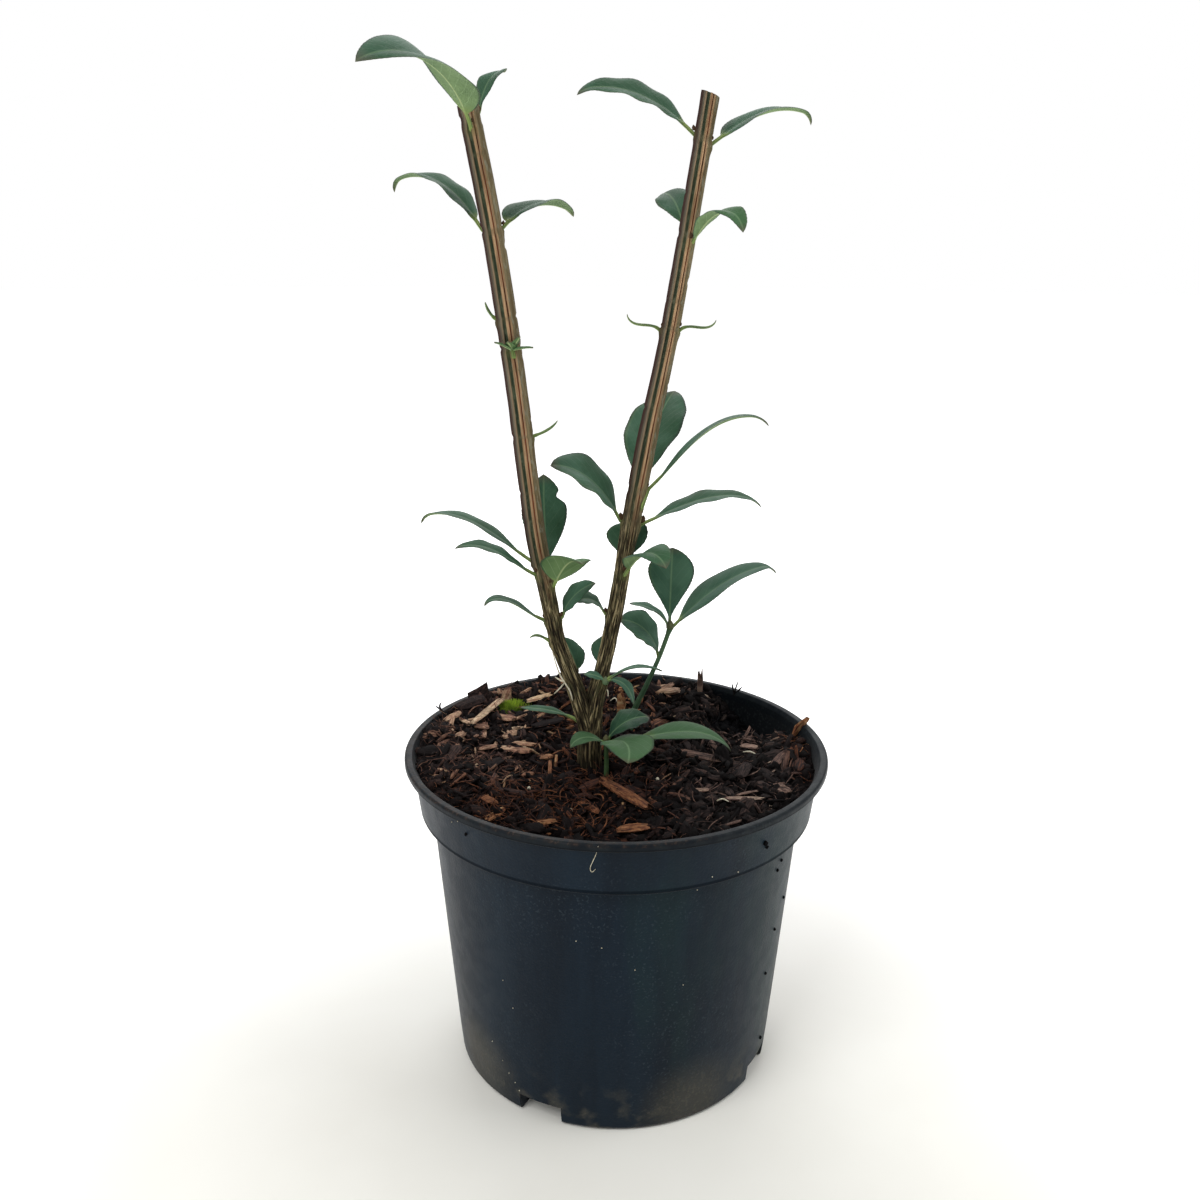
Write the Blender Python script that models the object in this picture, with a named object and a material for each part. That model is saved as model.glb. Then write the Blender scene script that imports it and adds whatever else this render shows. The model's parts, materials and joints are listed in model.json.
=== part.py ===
"""Potted burning bush: a young shrub with two winged stems in a 13 cm nursery pot.

The origin is the centre of the pot's underside, +Z is up and -Y is the front.
Lengths are in millimetres and angles in degrees until a mesh is made.
"""

import math
import random
from collections import namedtuple

import bmesh
import bpy
import numpy as np
from mathutils import Vector, noise

MM = 0.001
GAP = 0.3               # between touching pieces

# Pot
POT_HEIGHT = 102.0
LIP_RADIUS = 65.0
LIP_DEPTH = 2.4
COLLAR_TOP_RADIUS = 62.6
COLLAR_FOOT_RADIUS = 60.7
COLLAR_FOOT_HEIGHT = 84.6
BODY_TOP_RADIUS = 57.1
BASE_RADIUS = 50.0
BASE_CORNER = 1.5
COLLAR_STEP = 0.9       # rounding of the collar's under-edge
LIP_WIDTH = 2.0         # flat of the lip, with its outer rounding
WALL = 1.2
FLOOR = 1.5
POT_SIDES = 56

# Drainage channels, raised in the floor and open at the foot of the wall
CHANNEL_COUNT = 4
CHANNEL_TURN = 26.5     # of the first one, from the front towards the left
CHANNEL_WIDTH = 14.0
CHANNEL_HEIGHT = 6.0
CHANNEL_INNER_END = 20.0
CHANNEL_OUTER_END = 49.2
CHANNEL_SKIN = 1.3
DRAIN_HOLE_RADIUS = 4.0
DRAIN_HOLE_PLACE = 34.0

# Potting mix
MIX_HEIGHT = 97.9
MIX_RELIEF = 1.8
MIX_HIGHEST = 101.2
MIX_RINGS = 12
MIX_SPOKES = 44
HOLLOW_PLACE = (45.0, 32.0)
HOLLOW_RADIUS = 15.0
HOLLOW_DEPTH = 9.5
BANK_START = 34.0       # from here outwards the mix rises to the rim
BANK_END = 58.0
BANK_HEIGHT = 3.4
BANK_TURN = 128.0       # azimuth of the bank's highest side
MIX_LOWEST = 88.4       # keeps the surface over the shelf in the collar
CHIP_COUNT = 24
CHIP_SEED = 11

# Stems: centre lines as (x, y, height)
LEFT_STEM = [
    (-7.9, -6.1, 104), (-9.4, -6.5, 112), (-12.6, -7.4, 124), (-15.4, -7.9, 132), (-17.8, -8.3, 139),
    (-20.7, -9.4, 155), (-23.5, -10.4, 170), (-25.5, -11.6, 187), (-28.9, -13.7, 218), (-33.8, -16.1, 254),
    (-39.3, -18.1, 285),
]
RIGHT_STEM = [
    (-8.1, -6.1, 66), (-8.1, -6.1, 96), (-8.1, -6.1, 106), (-6.5, -5.3, 119), (-4.6, -4.7, 127),
    (-1.1, -3.7, 144), (1.9, -2.5, 162), (5.0, -1.3, 180), (9.2, 0.2, 203), (13.6, 1.6, 225),
    (18.6, 3.6, 255), (23.9, 5.9, 290),
]
# Half-widths over the wings as (height, half-width)
LEFT_GIRTH = [(104, 2.6), (120, 2.8), (132, 2.5), (150, 2.55), (162, 2.95), (218, 3.0), (285, 2.8)]
RIGHT_GIRTH = [
    (66, 3.9), (106, 3.9), (112, 3.5), (118, 3.05), (122, 2.9), (130, 2.45),
    (158, 2.5), (174, 3.0), (190, 3.15), (215, 2.85), (290, 2.65),
]
CORE_SHARE = 0.79       # of the half-width, between the wings
WING_TURN = 12.0        # azimuth of the first wing; the others follow at quarter turns
WING_HALF_ANGLE = 14.0
WING_FOOT_ANGLE = 27.0
STEM_STEP = 15.0        # between the rings of a stem
FOOT_TOP = 100.0        # under this the trunk is round
# Leaf nodes, where the wings stop, as (height, half-length)
LEFT_NODES = [
    (127, 1.2), (139, 1.0), (145.8, 1.3), (160, 5.0), (200, 1.2), (224, 1.4), (232, 1.2), (254.6, 1.3),
    (281.2, 2.6),
]
RIGHT_NODES = [
    (127.4, 2.2), (145.6, 1.2), (159.2, 1.8), (173.5, 1.6), (182.5, 2.4), (206, 1.2), (228.5, 1.2),
    (253.5, 2.2), (279, 2.0),
]

# Leaves
BLADE_THICK = 0.7
BLADE_STEPS = 8
BLADE_STRIPS = 4
BLADE_FOLD = 9.0
STALK_SHARE = 0.1       # of a leaf's length
STALK_HALF = 0.55
TIP_HALF = 0.35
LEAF_SEAT = 0.85        # from a stem's core to the middle of a leaf's foot
HOOK_START = 0.86       # of a leaf's length: beyond it the tip hooks down

Leaf = namedtuple("Leaf", "name stem height side heading turn length width rise roll widest stalk hook")


def leaf(name, stem, height, heading, length, width, rise, side=None, turn=0, roll=(0, 0),
         widest=0.5, stalk=STALK_SHARE, hook=0):
    """A leaf's plan: rise is the midrib's slope at its foot, middle and tip, roll at foot and tip."""
    return Leaf(name, stem, height, heading if side is None else side, heading, turn, length, width,
                rise, roll, widest, stalk, hook)


STEM_LEAVES = [
    leaf("leaf_left_01", "left", 279.5, 263, 48, 19, (36, 17, -30), side=268, turn=-43,
         roll=(-22, -27), widest=0.44),
    leaf("leaf_left_02", "left", 282.5, 53, 16, 9, (65, 55, -1), turn=-7, roll=(-12, -2), widest=0.61),
    leaf("leaf_left_03", "left", 254.5, 163, 32.5, 12.5, (54, 29, -44), side=150, roll=(-6, -4),
         widest=0.38, hook=50),
    leaf("leaf_left_04", "left", 255, 37, 25.5, 15.5, (45, 10, -33), side=32, roll=(-4, 5),
         widest=0.34, hook=20),
    leaf("leaf_left_05", "left", 232, 180, 5, 2, (40, 60, 80)),
    leaf("leaf_left_07", "left", 200, 5, 8, 2, (20, 30, 60)),
    leaf("leaf_left_08", "left", 160, 96, 30.5, 13.5, (18, 72, 88), side=67, turn=7, roll=(-8, -6),
         widest=0.59),
    leaf("leaf_left_09", "left", 163.5, 166, 38, 9, (31, 23, -29), turn=-3, roll=(1, 7), hook=40),
    leaf("leaf_left_10", "left", 160, 206, 26, 9, (31, 30, -18), side=215, turn=-9, roll=(-18, -3)),
    leaf("leaf_left_11", "left", 156.5, 301, 21.5, 14.5, (54, 36, -13), side=323, turn=-3,
         roll=(-14, -10), widest=0.46),
    leaf("leaf_left_12", "left", 145.5, 190, 20, 7, (24, 30, -32), side=186, turn=17, roll=(-8, 1),
         widest=0.54, hook=30),
    leaf("leaf_left_13", "left", 146, 6, 15, 8.5, (73, 47, 19), side=0, turn=-10, roll=(27, 22)),
    leaf("leaf_left_14", "left", 139, 180, 6, 2, (30, 10, -60)),
    leaf("leaf_left_15", "left", 127, 104, 13.5, 8.5, (46, 47, 33), side=55, turn=44, roll=(3, -2),
         widest=0.46),
    leaf("leaf_right_01", "right", 280, 187, 35.5, 14, (43, 19, -19), side=173, turn=5,
         roll=(-27, -27), widest=0.41, hook=20),
    leaf("leaf_right_02", "right", 277.5, 18, 33, 11.5, (35, 18, -31), turn=-7, roll=(13, 0),
         widest=0.35, hook=60),
    leaf("leaf_right_03", "right", 255, 101, 24, 10, (49, 26, 1), side=111, turn=4, roll=(-13, -25),
         widest=0.53),
    leaf("leaf_right_04", "right", 252, 308, 25, 9.5, (51, 13, -75), turn=-4, roll=(8, 11), widest=0.58),
    leaf("leaf_right_05", "right", 228, 180, 11, 2, (45, 5, 95)),
    leaf("leaf_right_06", "right", 228.2, 0, 11, 2, (35, -5, 80)),
    leaf("leaf_right_07", "right", 181, 81, 46, 19, (29, 37, 25), turn=-20, roll=(-11, -2), widest=0.58),
    leaf("leaf_right_08", "right", 183, 5, 43, 8.5, (43, 39, -26), side=359, turn=-8, roll=(3, -7),
         hook=30),
    leaf("leaf_right_09", "right", 173.5, 180, 28, 20, (63, 43, -2), side=184, turn=13, roll=(-12, -23)),
    leaf("leaf_right_10", "right", 172.5, 9, 38.5, 11.5, (22, 13, -32), roll=(2, 5), widest=0.46, hook=20),
    leaf("leaf_right_11", "right", 160, 68, 14.5, 12.5, (54, 66, -10), side=79, turn=31,
         roll=(-3, -10), widest=0.57),
    leaf("leaf_right_12", "right", 158.5, 303, 24, 12.5, (51, 24, -49), side=289, roll=(10, 8)),
    leaf("leaf_right_13", "right", 145.5, 183, 10.5, 8.5, (61, 28, -44), side=169, turn=-4,
         roll=(6, -16), widest=0.55),
    leaf("leaf_right_14", "right", 128, 75, 12, 7.5, (57, 42, 36), side=112, turn=-14, roll=(-3, 0)),
    leaf("leaf_low_narrow", "left", 113, 166, 17.5, 4.5, (20, 2, -6), turn=-8, roll=(-2, -6)),
]
# The star of three leaflets on the front of the left stem, as (heading, length)
STAR_HEIGHT = 224
STAR_SIDE = 270
STAR_LEAFLETS = [(205, 5), (275, 6), (335, 6)]

# Green shoots: centre line, foot first, and the leaves that grow from it
SHOOT_HALF = 0.95
SHOOT_SIDES = 8
SIDE_SHOOT = [
    (5, 20, 80), (5, 20, 99.5), (5, 20, 102), (7.1, 18.2, 108.5), (9.7, 16.5, 115), (13.7, 14, 126),
    (16.7, 12, 136),
]
SIDE_SHOOT_LEAVES = [
    leaf("front", "shoot", 136, 82, 26, 14.5, (83, 78, 62), roll=(-3, -3), widest=0.68),
    leaf("right", "shoot", 136, 1, 41, 15, (47, 34, -2), turn=12, roll=(9, -1), widest=0.44, hook=60),
    leaf("behind", "shoot", 136, 177, 16.5, 7.5, (82, 29, 10), turn=7, roll=(5, -3)),
    leaf("left", "shoot", 126, 184, 19.5, 13, (79, 48, -3), turn=-3, roll=(-24, -29), widest=0.55),
]
LOW_SHOOT = [(-3, -13.6, 80), (-3, -13.6, 99.5), (-3, -13.6, 102), (-3.2, -14, 109)]
LOW_SHOOT_LEAVES = [
    leaf("left", "shoot", 109, 194, 12.5, 6.5, (32, 4, -71), roll=(-2, -13), widest=0.54),
    leaf("front", "shoot", 109, 327, 19.5, 16, (32, 3, -28), turn=-72, roll=(4, -6)),
    leaf("back", "shoot", 109, 17, 16.5, 11.5, (63, 25, -17), turn=6, roll=(-1, 9), widest=0.56),
    leaf("right", "shoot", 109, 357, 40.5, 10, (4, 5, -59), turn=13, roll=(11, 4), stalk=0.22),
]
FORK_SHOOT_HEIGHT = 126
FORK_SHOOT_SIDE = 292
FORK_SHOOT_LEAVES = [
    leaf("right", "shoot", 126, 357, 19, 4, (46, 7, -31), turn=23, roll=(-5, -6), widest=0.57),
    leaf("down", "shoot", 126, 349, 13, 5.5, (32, -46, -80), turn=6, roll=(8, 18)),
    leaf("left", "shoot", 126, 179, 7, 4, (34, 19, -7), roll=(-15, -15)),
]

# Moss at the back left of the mix
MOSS_PLACE = (-34.8, 34.5)
MOSS_SEAT_HEIGHT = 99.2
MOSS_RADIUS = 5.0
MOSS_HEIGHT = 2.2
MOSS_BLADES = 26
MOSS_SEED = 4

# Bark chips that show by themselves, as (x, y, heading, length, width, tilt)
PLACED_CHIPS = [
    (25, 0.3, 20, 17, 4.5, 3), (2, -32.9, -62, 25, 4.5, 6), (-7, -42.8, -45, 11, 4, 5),
    (4, -51, 5, 8, 4, 4), (18.6, 43.9, -20, 8, 5, 12), (-47.6, 15.5, 50, 11, 5, 8),
    (-24, 27.8, 10, 10, 4.5, 6),
    (-29, 10.5, -8, 12, 4, 4), (-33, 2.5, 12, 12, 4.5, 6), (-43.7, 20.8, 65, 16, 3, 3),
    (-23.8, 42, 35, 12, 2.4, 5), (1.9, 45, 30, 5, 4, 10), (51.5, 16.5, 70, 11, 4.5, 22),
    (-41.3, 27, 40, 9, 7, 60), (29.8, 43, 85, 7, 2, 65), (34, -33, -5, 14, 2, 3), (-30, 19.7, -14, 8, 4, 5),
    (14.1, 24.7, 35, 10, 4, 8), (-12, 37.8, 5, 8, 3, 14),
]


# Making objects
def material(name, colour, roughness):
    """A plain surface of one colour."""
    made = bpy.data.materials.new(name)
    made.use_nodes = True
    shader = made.node_tree.nodes["Principled BSDF"]
    shader.inputs["Base Color"].default_value = (*colour, 1.0)
    shader.inputs["Roughness"].default_value = roughness
    shader.inputs["Metallic"].default_value = 0.0
    return made


def solid(name, points, faces, surface=None):
    """One object from points in millimetres."""
    mesh = bpy.data.meshes.new(name)
    mesh.from_pydata([tuple(c * MM for c in p) for p in points], [], faces)
    work = bmesh.new()
    work.from_mesh(mesh)
    bmesh.ops.triangulate(work, faces=work.faces)
    work.to_mesh(mesh)
    work.free()
    made = bpy.data.objects.new(name, mesh)
    bpy.context.scene.collection.objects.link(made)
    if surface:
        mesh.materials.append(surface)
    return made


def applied(made):
    """The object with its modifiers made part of its mesh."""
    depsgraph = bpy.context.evaluated_depsgraph_get()
    depsgraph.update()
    mesh = bpy.data.meshes.new_from_object(made.evaluated_get(depsgraph))
    made.modifiers.clear()
    made.data = mesh
    return made


def combine(made, others, operation):
    """Join the others to the object, or cut them from it, and remove them."""
    group = bpy.data.collections.new(made.name + "_" + operation.lower())
    bpy.context.scene.collection.children.link(group)
    for other in others:
        for home in list(other.users_collection):
            home.objects.unlink(other)
        group.objects.link(other)
    boolean = made.modifiers.new(operation.lower(), "BOOLEAN")
    boolean.operation = operation
    boolean.operand_type = "COLLECTION"
    boolean.collection = group
    boolean.solver = "EXACT"
    applied(made)
    for other in others:
        bpy.data.objects.remove(other)
    bpy.data.collections.remove(group)
    return made


def box(name, low, high, turn=0.0):
    """A box between two corners, turned about the vertical axis through the origin."""
    corners = [(x, y, z) for z in (low[2], high[2]) for y in (low[1], high[1]) for x in (low[0], high[0])]
    c, s = math.cos(math.radians(turn)), math.sin(math.radians(turn))
    points = [(x * c - y * s, x * s + y * c, z) for x, y, z in corners]
    faces = [(0, 2, 3, 1), (4, 5, 7, 6), (0, 1, 5, 4), (2, 6, 7, 3), (0, 4, 6, 2), (1, 3, 7, 5)]
    return solid(name, points, faces)


def rod(name, centre, radius, low, high, sides=24):
    """A vertical rod."""
    ring = [(centre[0] + radius * math.cos(a), centre[1] + radius * math.sin(a))
            for a in (2 * math.pi * i / sides for i in range(sides))]
    points = [(x, y, low) for x, y in ring] + [(x, y, high) for x, y in ring]
    return solid(name, points, loft_faces(2, sides))


def loft_faces(rings, sides):
    """Faces over rings of equal size, with both ends closed."""
    faces = [tuple(range(sides))[::-1]]
    for r in range(rings - 1):
        for s in range(sides):
            a, b = r * sides + s, r * sides + (s + 1) % sides
            faces.append((a, b, b + sides, a + sides))
    faces.append(tuple(range((rings - 1) * sides, rings * sides)))
    return faces


def turned(name, profile, sides, surface=None):
    """A closed turned solid: the profile runs from the axis at the bottom, up outside, to the axis."""
    points = [(0.0, 0.0, profile[0][1])]
    for radius, height in profile[1:-1]:
        for i in range(sides):
            a = 2 * math.pi * i / sides
            points.append((radius * math.cos(a), radius * math.sin(a), height))
    points.append((0.0, 0.0, profile[-1][1]))
    last = len(points) - 1
    rows = len(profile) - 2
    faces = []
    for i in range(sides):
        j = (i + 1) % sides
        faces.append((0, 1 + j, 1 + i))
        for r in range(rows - 1):
            a, b = 1 + r * sides + i, 1 + r * sides + j
            faces.append((a, b, b + sides, a + sides))
        top = 1 + (rows - 1) * sides
        faces.append((top + i, top + j, last))
    return solid(name, points, faces, surface)


# Pot
def wall_radius(height, inset=0.0):
    """The body's outer radius at a height under the collar, less an inset."""
    return BASE_RADIUS + (BODY_TOP_RADIUS - BASE_RADIUS) * height / COLLAR_FOOT_HEIGHT - inset


def channel_turn(i):
    """Azimuth of a drainage channel."""
    return 270.0 - CHANNEL_TURN - 360.0 * i / CHANNEL_COUNT


def channel_box(name, i, side_room, top, inner_end, outer_end, low):
    """A box along a drainage channel."""
    half = CHANNEL_WIDTH / 2 + side_room
    return box(name, (inner_end, -half, low), (outer_end, half, top), channel_turn(i))


def build_pot(surface):
    """The moulded pot with its lip, collar and notched foot."""
    corner = [(BASE_RADIUS - BASE_CORNER * (1 - math.sin(a)), BASE_CORNER * (1 - math.cos(a)))
              for a in (0.0, math.pi / 4, math.pi / 2)]
    lip_low = POT_HEIGHT - LIP_DEPTH
    outside = corner + [
        (BODY_TOP_RADIUS, COLLAR_FOOT_HEIGHT),
        (COLLAR_FOOT_RADIUS - COLLAR_STEP, COLLAR_FOOT_HEIGHT),
        (COLLAR_FOOT_RADIUS, COLLAR_FOOT_HEIGHT + COLLAR_STEP),
        (COLLAR_TOP_RADIUS, lip_low),
        (LIP_RADIUS - 0.7, lip_low),
        (LIP_RADIUS, lip_low + 0.7),
        (LIP_RADIUS, POT_HEIGHT - 0.8),
        (LIP_RADIUS - 0.8, POT_HEIGHT),
        (LIP_RADIUS - LIP_WIDTH, POT_HEIGHT),
    ]
    inside = [
        (COLLAR_TOP_RADIUS - WALL, lip_low),
        (COLLAR_FOOT_RADIUS - WALL, COLLAR_FOOT_HEIGHT + WALL + COLLAR_STEP),
        (BODY_TOP_RADIUS - WALL, COLLAR_FOOT_HEIGHT + WALL),
        (wall_radius(FLOOR, WALL), FLOOR),
    ]
    pot = turned("pot", [(0, 0)] + outside + inside + [(0, FLOOR)], POT_SIDES, surface)
    covers = [channel_box("cover", i, CHANNEL_SKIN, CHANNEL_HEIGHT + CHANNEL_SKIN,
                          CHANNEL_INNER_END - CHANNEL_SKIN, CHANNEL_OUTER_END, FLOOR / 2)
              for i in range(CHANNEL_COUNT)]
    combine(pot, covers, "UNION")
    past = BASE_RADIUS + 10.0
    cuts = [channel_box("void", i, 0.0, CHANNEL_HEIGHT, CHANNEL_INNER_END, past, -FLOOR)
            for i in range(CHANNEL_COUNT)]
    for i in range(CHANNEL_COUNT):
        a = math.radians(channel_turn(i))
        place = (DRAIN_HOLE_PLACE * math.cos(a), DRAIN_HOLE_PLACE * math.sin(a))
        cuts.append(rod("drain", place, DRAIN_HOLE_RADIUS, CHANNEL_HEIGHT / 2,
                        CHANNEL_HEIGHT + 3 * CHANNEL_SKIN, 16))
    return combine(pot, cuts, "DIFFERENCE")


# Potting mix
def mix_height(x, y):
    """Height of the mix: lumps, a bank at the back left, a deep hollow and a flat seat for the moss."""
    lumps = noise.fractal(Vector((x * 0.06, y * 0.06, 3.0)), 0.8, 2.2, 4)
    height = MIX_HEIGHT + MIX_RELIEF * max(-1.0, min(1.0, lumps))
    out = max(0.0, min(1.0, (math.hypot(x, y) - BANK_START) / (BANK_END - BANK_START)))
    facing = 0.5 + 0.5 * math.cos(math.atan2(y, x) - math.radians(BANK_TURN))
    height = min(MIX_HIGHEST, height + BANK_HEIGHT * out * out * (3.0 - 2.0 * out) * facing)
    away = math.hypot(x - HOLLOW_PLACE[0], y - HOLLOW_PLACE[1]) / HOLLOW_RADIUS
    height = max(MIX_LOWEST, height - HOLLOW_DEPTH * math.exp(-away ** 4))
    near = math.hypot(x - MOSS_PLACE[0], y - MOSS_PLACE[1])
    blend = max(0.0, min(1.0, (near - MOSS_RADIUS) / 5.0))
    return MOSS_SEAT_HEIGHT + (height - MOSS_SEAT_HEIGHT) * blend


def mix_radius(height):
    """The mix's radius in the collar."""
    share = (height - COLLAR_FOOT_HEIGHT) / (POT_HEIGHT - LIP_DEPTH - COLLAR_FOOT_HEIGHT)
    return COLLAR_FOOT_RADIUS + (COLLAR_TOP_RADIUS - COLLAR_FOOT_RADIUS) * share - WALL - GAP - 0.15


def chip(name, place, heading, length, width, tilt, draw):
    """A splinter of bark, half sunk in the mix: a bar with uneven ends."""
    thick = 0.35 * width
    points = []
    for along in (-0.5, 0.0, 0.5):
        for across, up in ((-0.5, -1), (0.5, -1), (0.5, 1), (-0.5, 1)):
            taper = 0.65 if along else 1.0
            points.append((
                along * length + draw.uniform(-0.08, 0.08) * length,
                across * width * taper + draw.uniform(-0.1, 0.1) * width,
                up * thick * (taper if up > 0 else 1.6) + draw.uniform(-0.1, 0.1) * thick,
            ))
    a, t = math.radians(heading), math.radians(tilt)
    low = mix_height(*place) + 0.15 * thick + abs(math.sin(t)) * length * 0.32
    turned_points = []
    for x, y, z in points:
        x, z = x * math.cos(t) - z * math.sin(t), x * math.sin(t) + z * math.cos(t)
        turned_points.append((place[0] + x * math.cos(a) - y * math.sin(a),
                              place[1] + x * math.sin(a) + y * math.cos(a), low + z))
    return solid(name, turned_points, loft_faces(3, 4))


def mix_chips():
    """The chips that show by themselves, then a seeded scatter of small ones."""
    draw = random.Random(CHIP_SEED)
    chips = [chip("chip", (x, y), heading, length, width, tilt, draw)
             for x, y, heading, length, width, tilt in PLACED_CHIPS]
    feet = [RIGHT_STEM[0][:2], SIDE_SHOOT[0][:2], LOW_SHOOT[0][:2], MOSS_PLACE]
    while len(chips) < len(PLACED_CHIPS) + CHIP_COUNT:
        radius, a = 53.0 * math.sqrt(draw.random()), draw.uniform(0, 2 * math.pi)
        x, y = radius * math.cos(a), radius * math.sin(a)
        length = draw.uniform(4.0, 9.0)
        values = (draw.uniform(0, 180), length, length * draw.uniform(0.28, 0.5), draw.uniform(0, 18))
        if min(math.hypot(x - fx, y - fy) for fx, fy in feet) < 12.0:
            continue
        chips.append(chip("chip", (x, y), *values, draw))
    return chips


def build_mix(surface):
    """The mix: relief on top, bark chips in it, holes for the stems, room for the channels."""
    top_radius = mix_radius(MIX_HEIGHT)
    points = [(0.0, 0.0, mix_height(0.0, 0.0))]
    for r in range(1, MIX_RINGS + 1):
        radius = top_radius * r / MIX_RINGS
        for s in range(MIX_SPOKES):
            a = 2 * math.pi * (s + 0.5 * (r % 2)) / MIX_SPOKES
            x, y = radius * math.cos(a), radius * math.sin(a)
            height = mix_height(x, y)
            if r == MIX_RINGS:
                x, y = (mix_radius(height) * c for c in (math.cos(a), math.sin(a)))
            points.append((x, y, height))
    step_height = COLLAR_FOOT_HEIGHT + WALL
    sides = [
        (mix_radius(step_height + 1.6), step_height + 1.6),
        (BODY_TOP_RADIUS - WALL - GAP - 0.25, step_height + 0.4),
        (wall_radius(FLOOR + GAP, WALL + GAP + 0.2), FLOOR + GAP),
    ]
    shift = 0.5 * (MIX_RINGS % 2)
    for radius, height in sides:
        for s in range(MIX_SPOKES):
            a = 2 * math.pi * (s + shift) / MIX_SPOKES
            points.append((radius * math.cos(a), radius * math.sin(a), height))
    points.append((0.0, 0.0, FLOOR + GAP))
    last = len(points) - 1
    rows = MIX_RINGS + len(sides)
    faces = []
    for s in range(MIX_SPOKES):
        t = (s + 1) % MIX_SPOKES
        faces.append((0, 1 + s, 1 + t))
        for r in range(rows - 1):
            a, b = 1 + r * MIX_SPOKES + s, 1 + r * MIX_SPOKES + t
            c, d = a + MIX_SPOKES, b + MIX_SPOKES
            if r >= MIX_RINGS - 1:
                faces.append((a, c, d, b))
            elif r % 2 == 0:
                e = 1 + (r + 1) * MIX_SPOKES + (s - 1) % MIX_SPOKES
                faces.extend([(a, e, c), (a, c, b)])
            else:
                faces.extend([(a, c, d), (a, d, b)])
        base = 1 + (rows - 1) * MIX_SPOKES
        faces.append((base + t, base + s, last))
    mix = solid("potting_mix", points, faces, surface)
    combine(mix, mix_chips(), "UNION")
    room = CHANNEL_SKIN + GAP
    past = BASE_RADIUS + 10.0
    cuts = [channel_box("room", i, room, CHANNEL_HEIGHT + room, CHANNEL_INNER_END - room, past, 0.0)
            for i in range(CHANNEL_COUNT)]
    cuts.append(rod("hole", RIGHT_STEM[0][:2], RIGHT_GIRTH[0][1] + GAP, RIGHT_STEM[0][2] - GAP, 120.0))
    for path in (SIDE_SHOOT, LOW_SHOOT):
        cuts.append(rod("hole", path[0][:2], SHOOT_HALF + GAP, path[0][2] - GAP, 120.0, 12))
    cuts.append(rod("seat", MOSS_PLACE, MOSS_RADIUS + 0.6, MOSS_SEAT_HEIGHT - GAP, 120.0))
    return combine(mix, cuts, "DIFFERENCE")


# Stems
def along(table, height):
    """A value read between the rows of (height, value)."""
    return float(np.interp(height, [row[0] for row in table], [row[1] for row in table]))


def on_path(path, height):
    """A point on the smooth curve through a centre line's points, at a height."""
    p = np.array(path, float)
    i = int(np.clip(np.searchsorted(p[:, 2], height) - 1, 0, len(p) - 2))
    a, b = p[i], p[i + 1]
    before, after = p[max(i - 1, 0)], p[min(i + 2, len(p) - 1)]
    t = (height - a[2]) / (b[2] - a[2])
    lean_a = (b - before) / (b[2] - before[2]) * (b[2] - a[2])
    lean_b = (after - a) / (after[2] - a[2]) * (b[2] - a[2])
    return ((2 * t**3 - 3 * t**2 + 1) * a + (t**3 - 2 * t**2 + t) * lean_a
            + (3 * t**2 - 2 * t**3) * b + (t**3 - t**2) * lean_b)


def stem_parts(stem):
    """A stem's centre line, girth and nodes."""
    if stem == "left":
        return LEFT_STEM, LEFT_GIRTH, LEFT_NODES
    return RIGHT_STEM, RIGHT_GIRTH, RIGHT_NODES


def at_node(nodes, height):
    """Whether the wings are broken off at a height."""
    return any(abs(height - middle) < half for middle, half in nodes)


def core_radius(stem, height):
    """Radius that a leaf's foot sits against."""
    path, girth, nodes = stem_parts(stem)
    return along(girth, height) * (CORE_SHARE if at_node(nodes, height) else 1.0)


def stem_heights(path, nodes, low, high):
    """Ring heights: a steady step, and two rings at each end of every node."""
    steps = max(2, round((high - low) / STEM_STEP))
    heights = [low + (high - low) * i / steps for i in range(steps + 1)]
    heights = [h for h in heights if not any(abs(h - m) < half + 1.2 for m, half in nodes)] + [low, high]
    for middle, half in nodes:
        ends = (middle - half - 0.3, middle - half + 0.3, middle + half - 0.3, middle + half + 0.3)
        heights += [h for h in ends if low < h < high]
    return sorted(set(heights))


def build_stem(name, stem, surface=None):
    """One stem with four wings, swept up its centre line."""
    path, girth, nodes = stem_parts(stem)
    low, high = path[0][2], path[-1][2]
    sides = 16
    points = []
    heights = stem_heights(path, nodes, low, high)
    for height in heights:
        centre = on_path(path, height)
        tangent = on_path(path, min(height + 1, high)) - on_path(path, max(height - 1, low))
        tangent /= np.linalg.norm(tangent)
        across = np.cross([0.0, 1.0, 0.0], tangent)
        across /= np.linalg.norm(across)
        back = np.cross(tangent, across)
        radius = along(girth, height)
        winged = height > FOOT_TOP and not at_node(nodes, height)
        for wing in range(4):
            middle = WING_TURN + 90.0 * wing
            for angle, share in ((-WING_FOOT_ANGLE, CORE_SHARE), (-WING_HALF_ANGLE, 1.0),
                                 (WING_HALF_ANGLE, 1.0), (WING_FOOT_ANGLE, CORE_SHARE)):
                if height <= FOOT_TOP:
                    share = 1.0
                elif not winged:
                    share = CORE_SHARE
                a = math.radians(middle + angle)
                points.append(centre + radius * share * (across * math.cos(a) + back * math.sin(a)))
    return solid(name, points, loft_faces(len(heights), sides), surface)


def build_stems(surface):
    """The trunk with its two branches, grown as one piece."""
    stems = build_stem("winged_stems", "right", surface)
    return combine(stems, [build_stem("branch", "left")], "UNION")


# Leaves
def slope(plan, s):
    """The midrib's slope at s along it, through the plan's three values."""
    foot, middle, tip = plan.rise
    hooked = plan.hook * max(0.0, s - HOOK_START) / (1.0 - HOOK_START)
    return foot * (1 - s) * (1 - 2 * s) + middle * 4 * s * (1 - s) + tip * s * (2 * s - 1) - hooked


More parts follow.
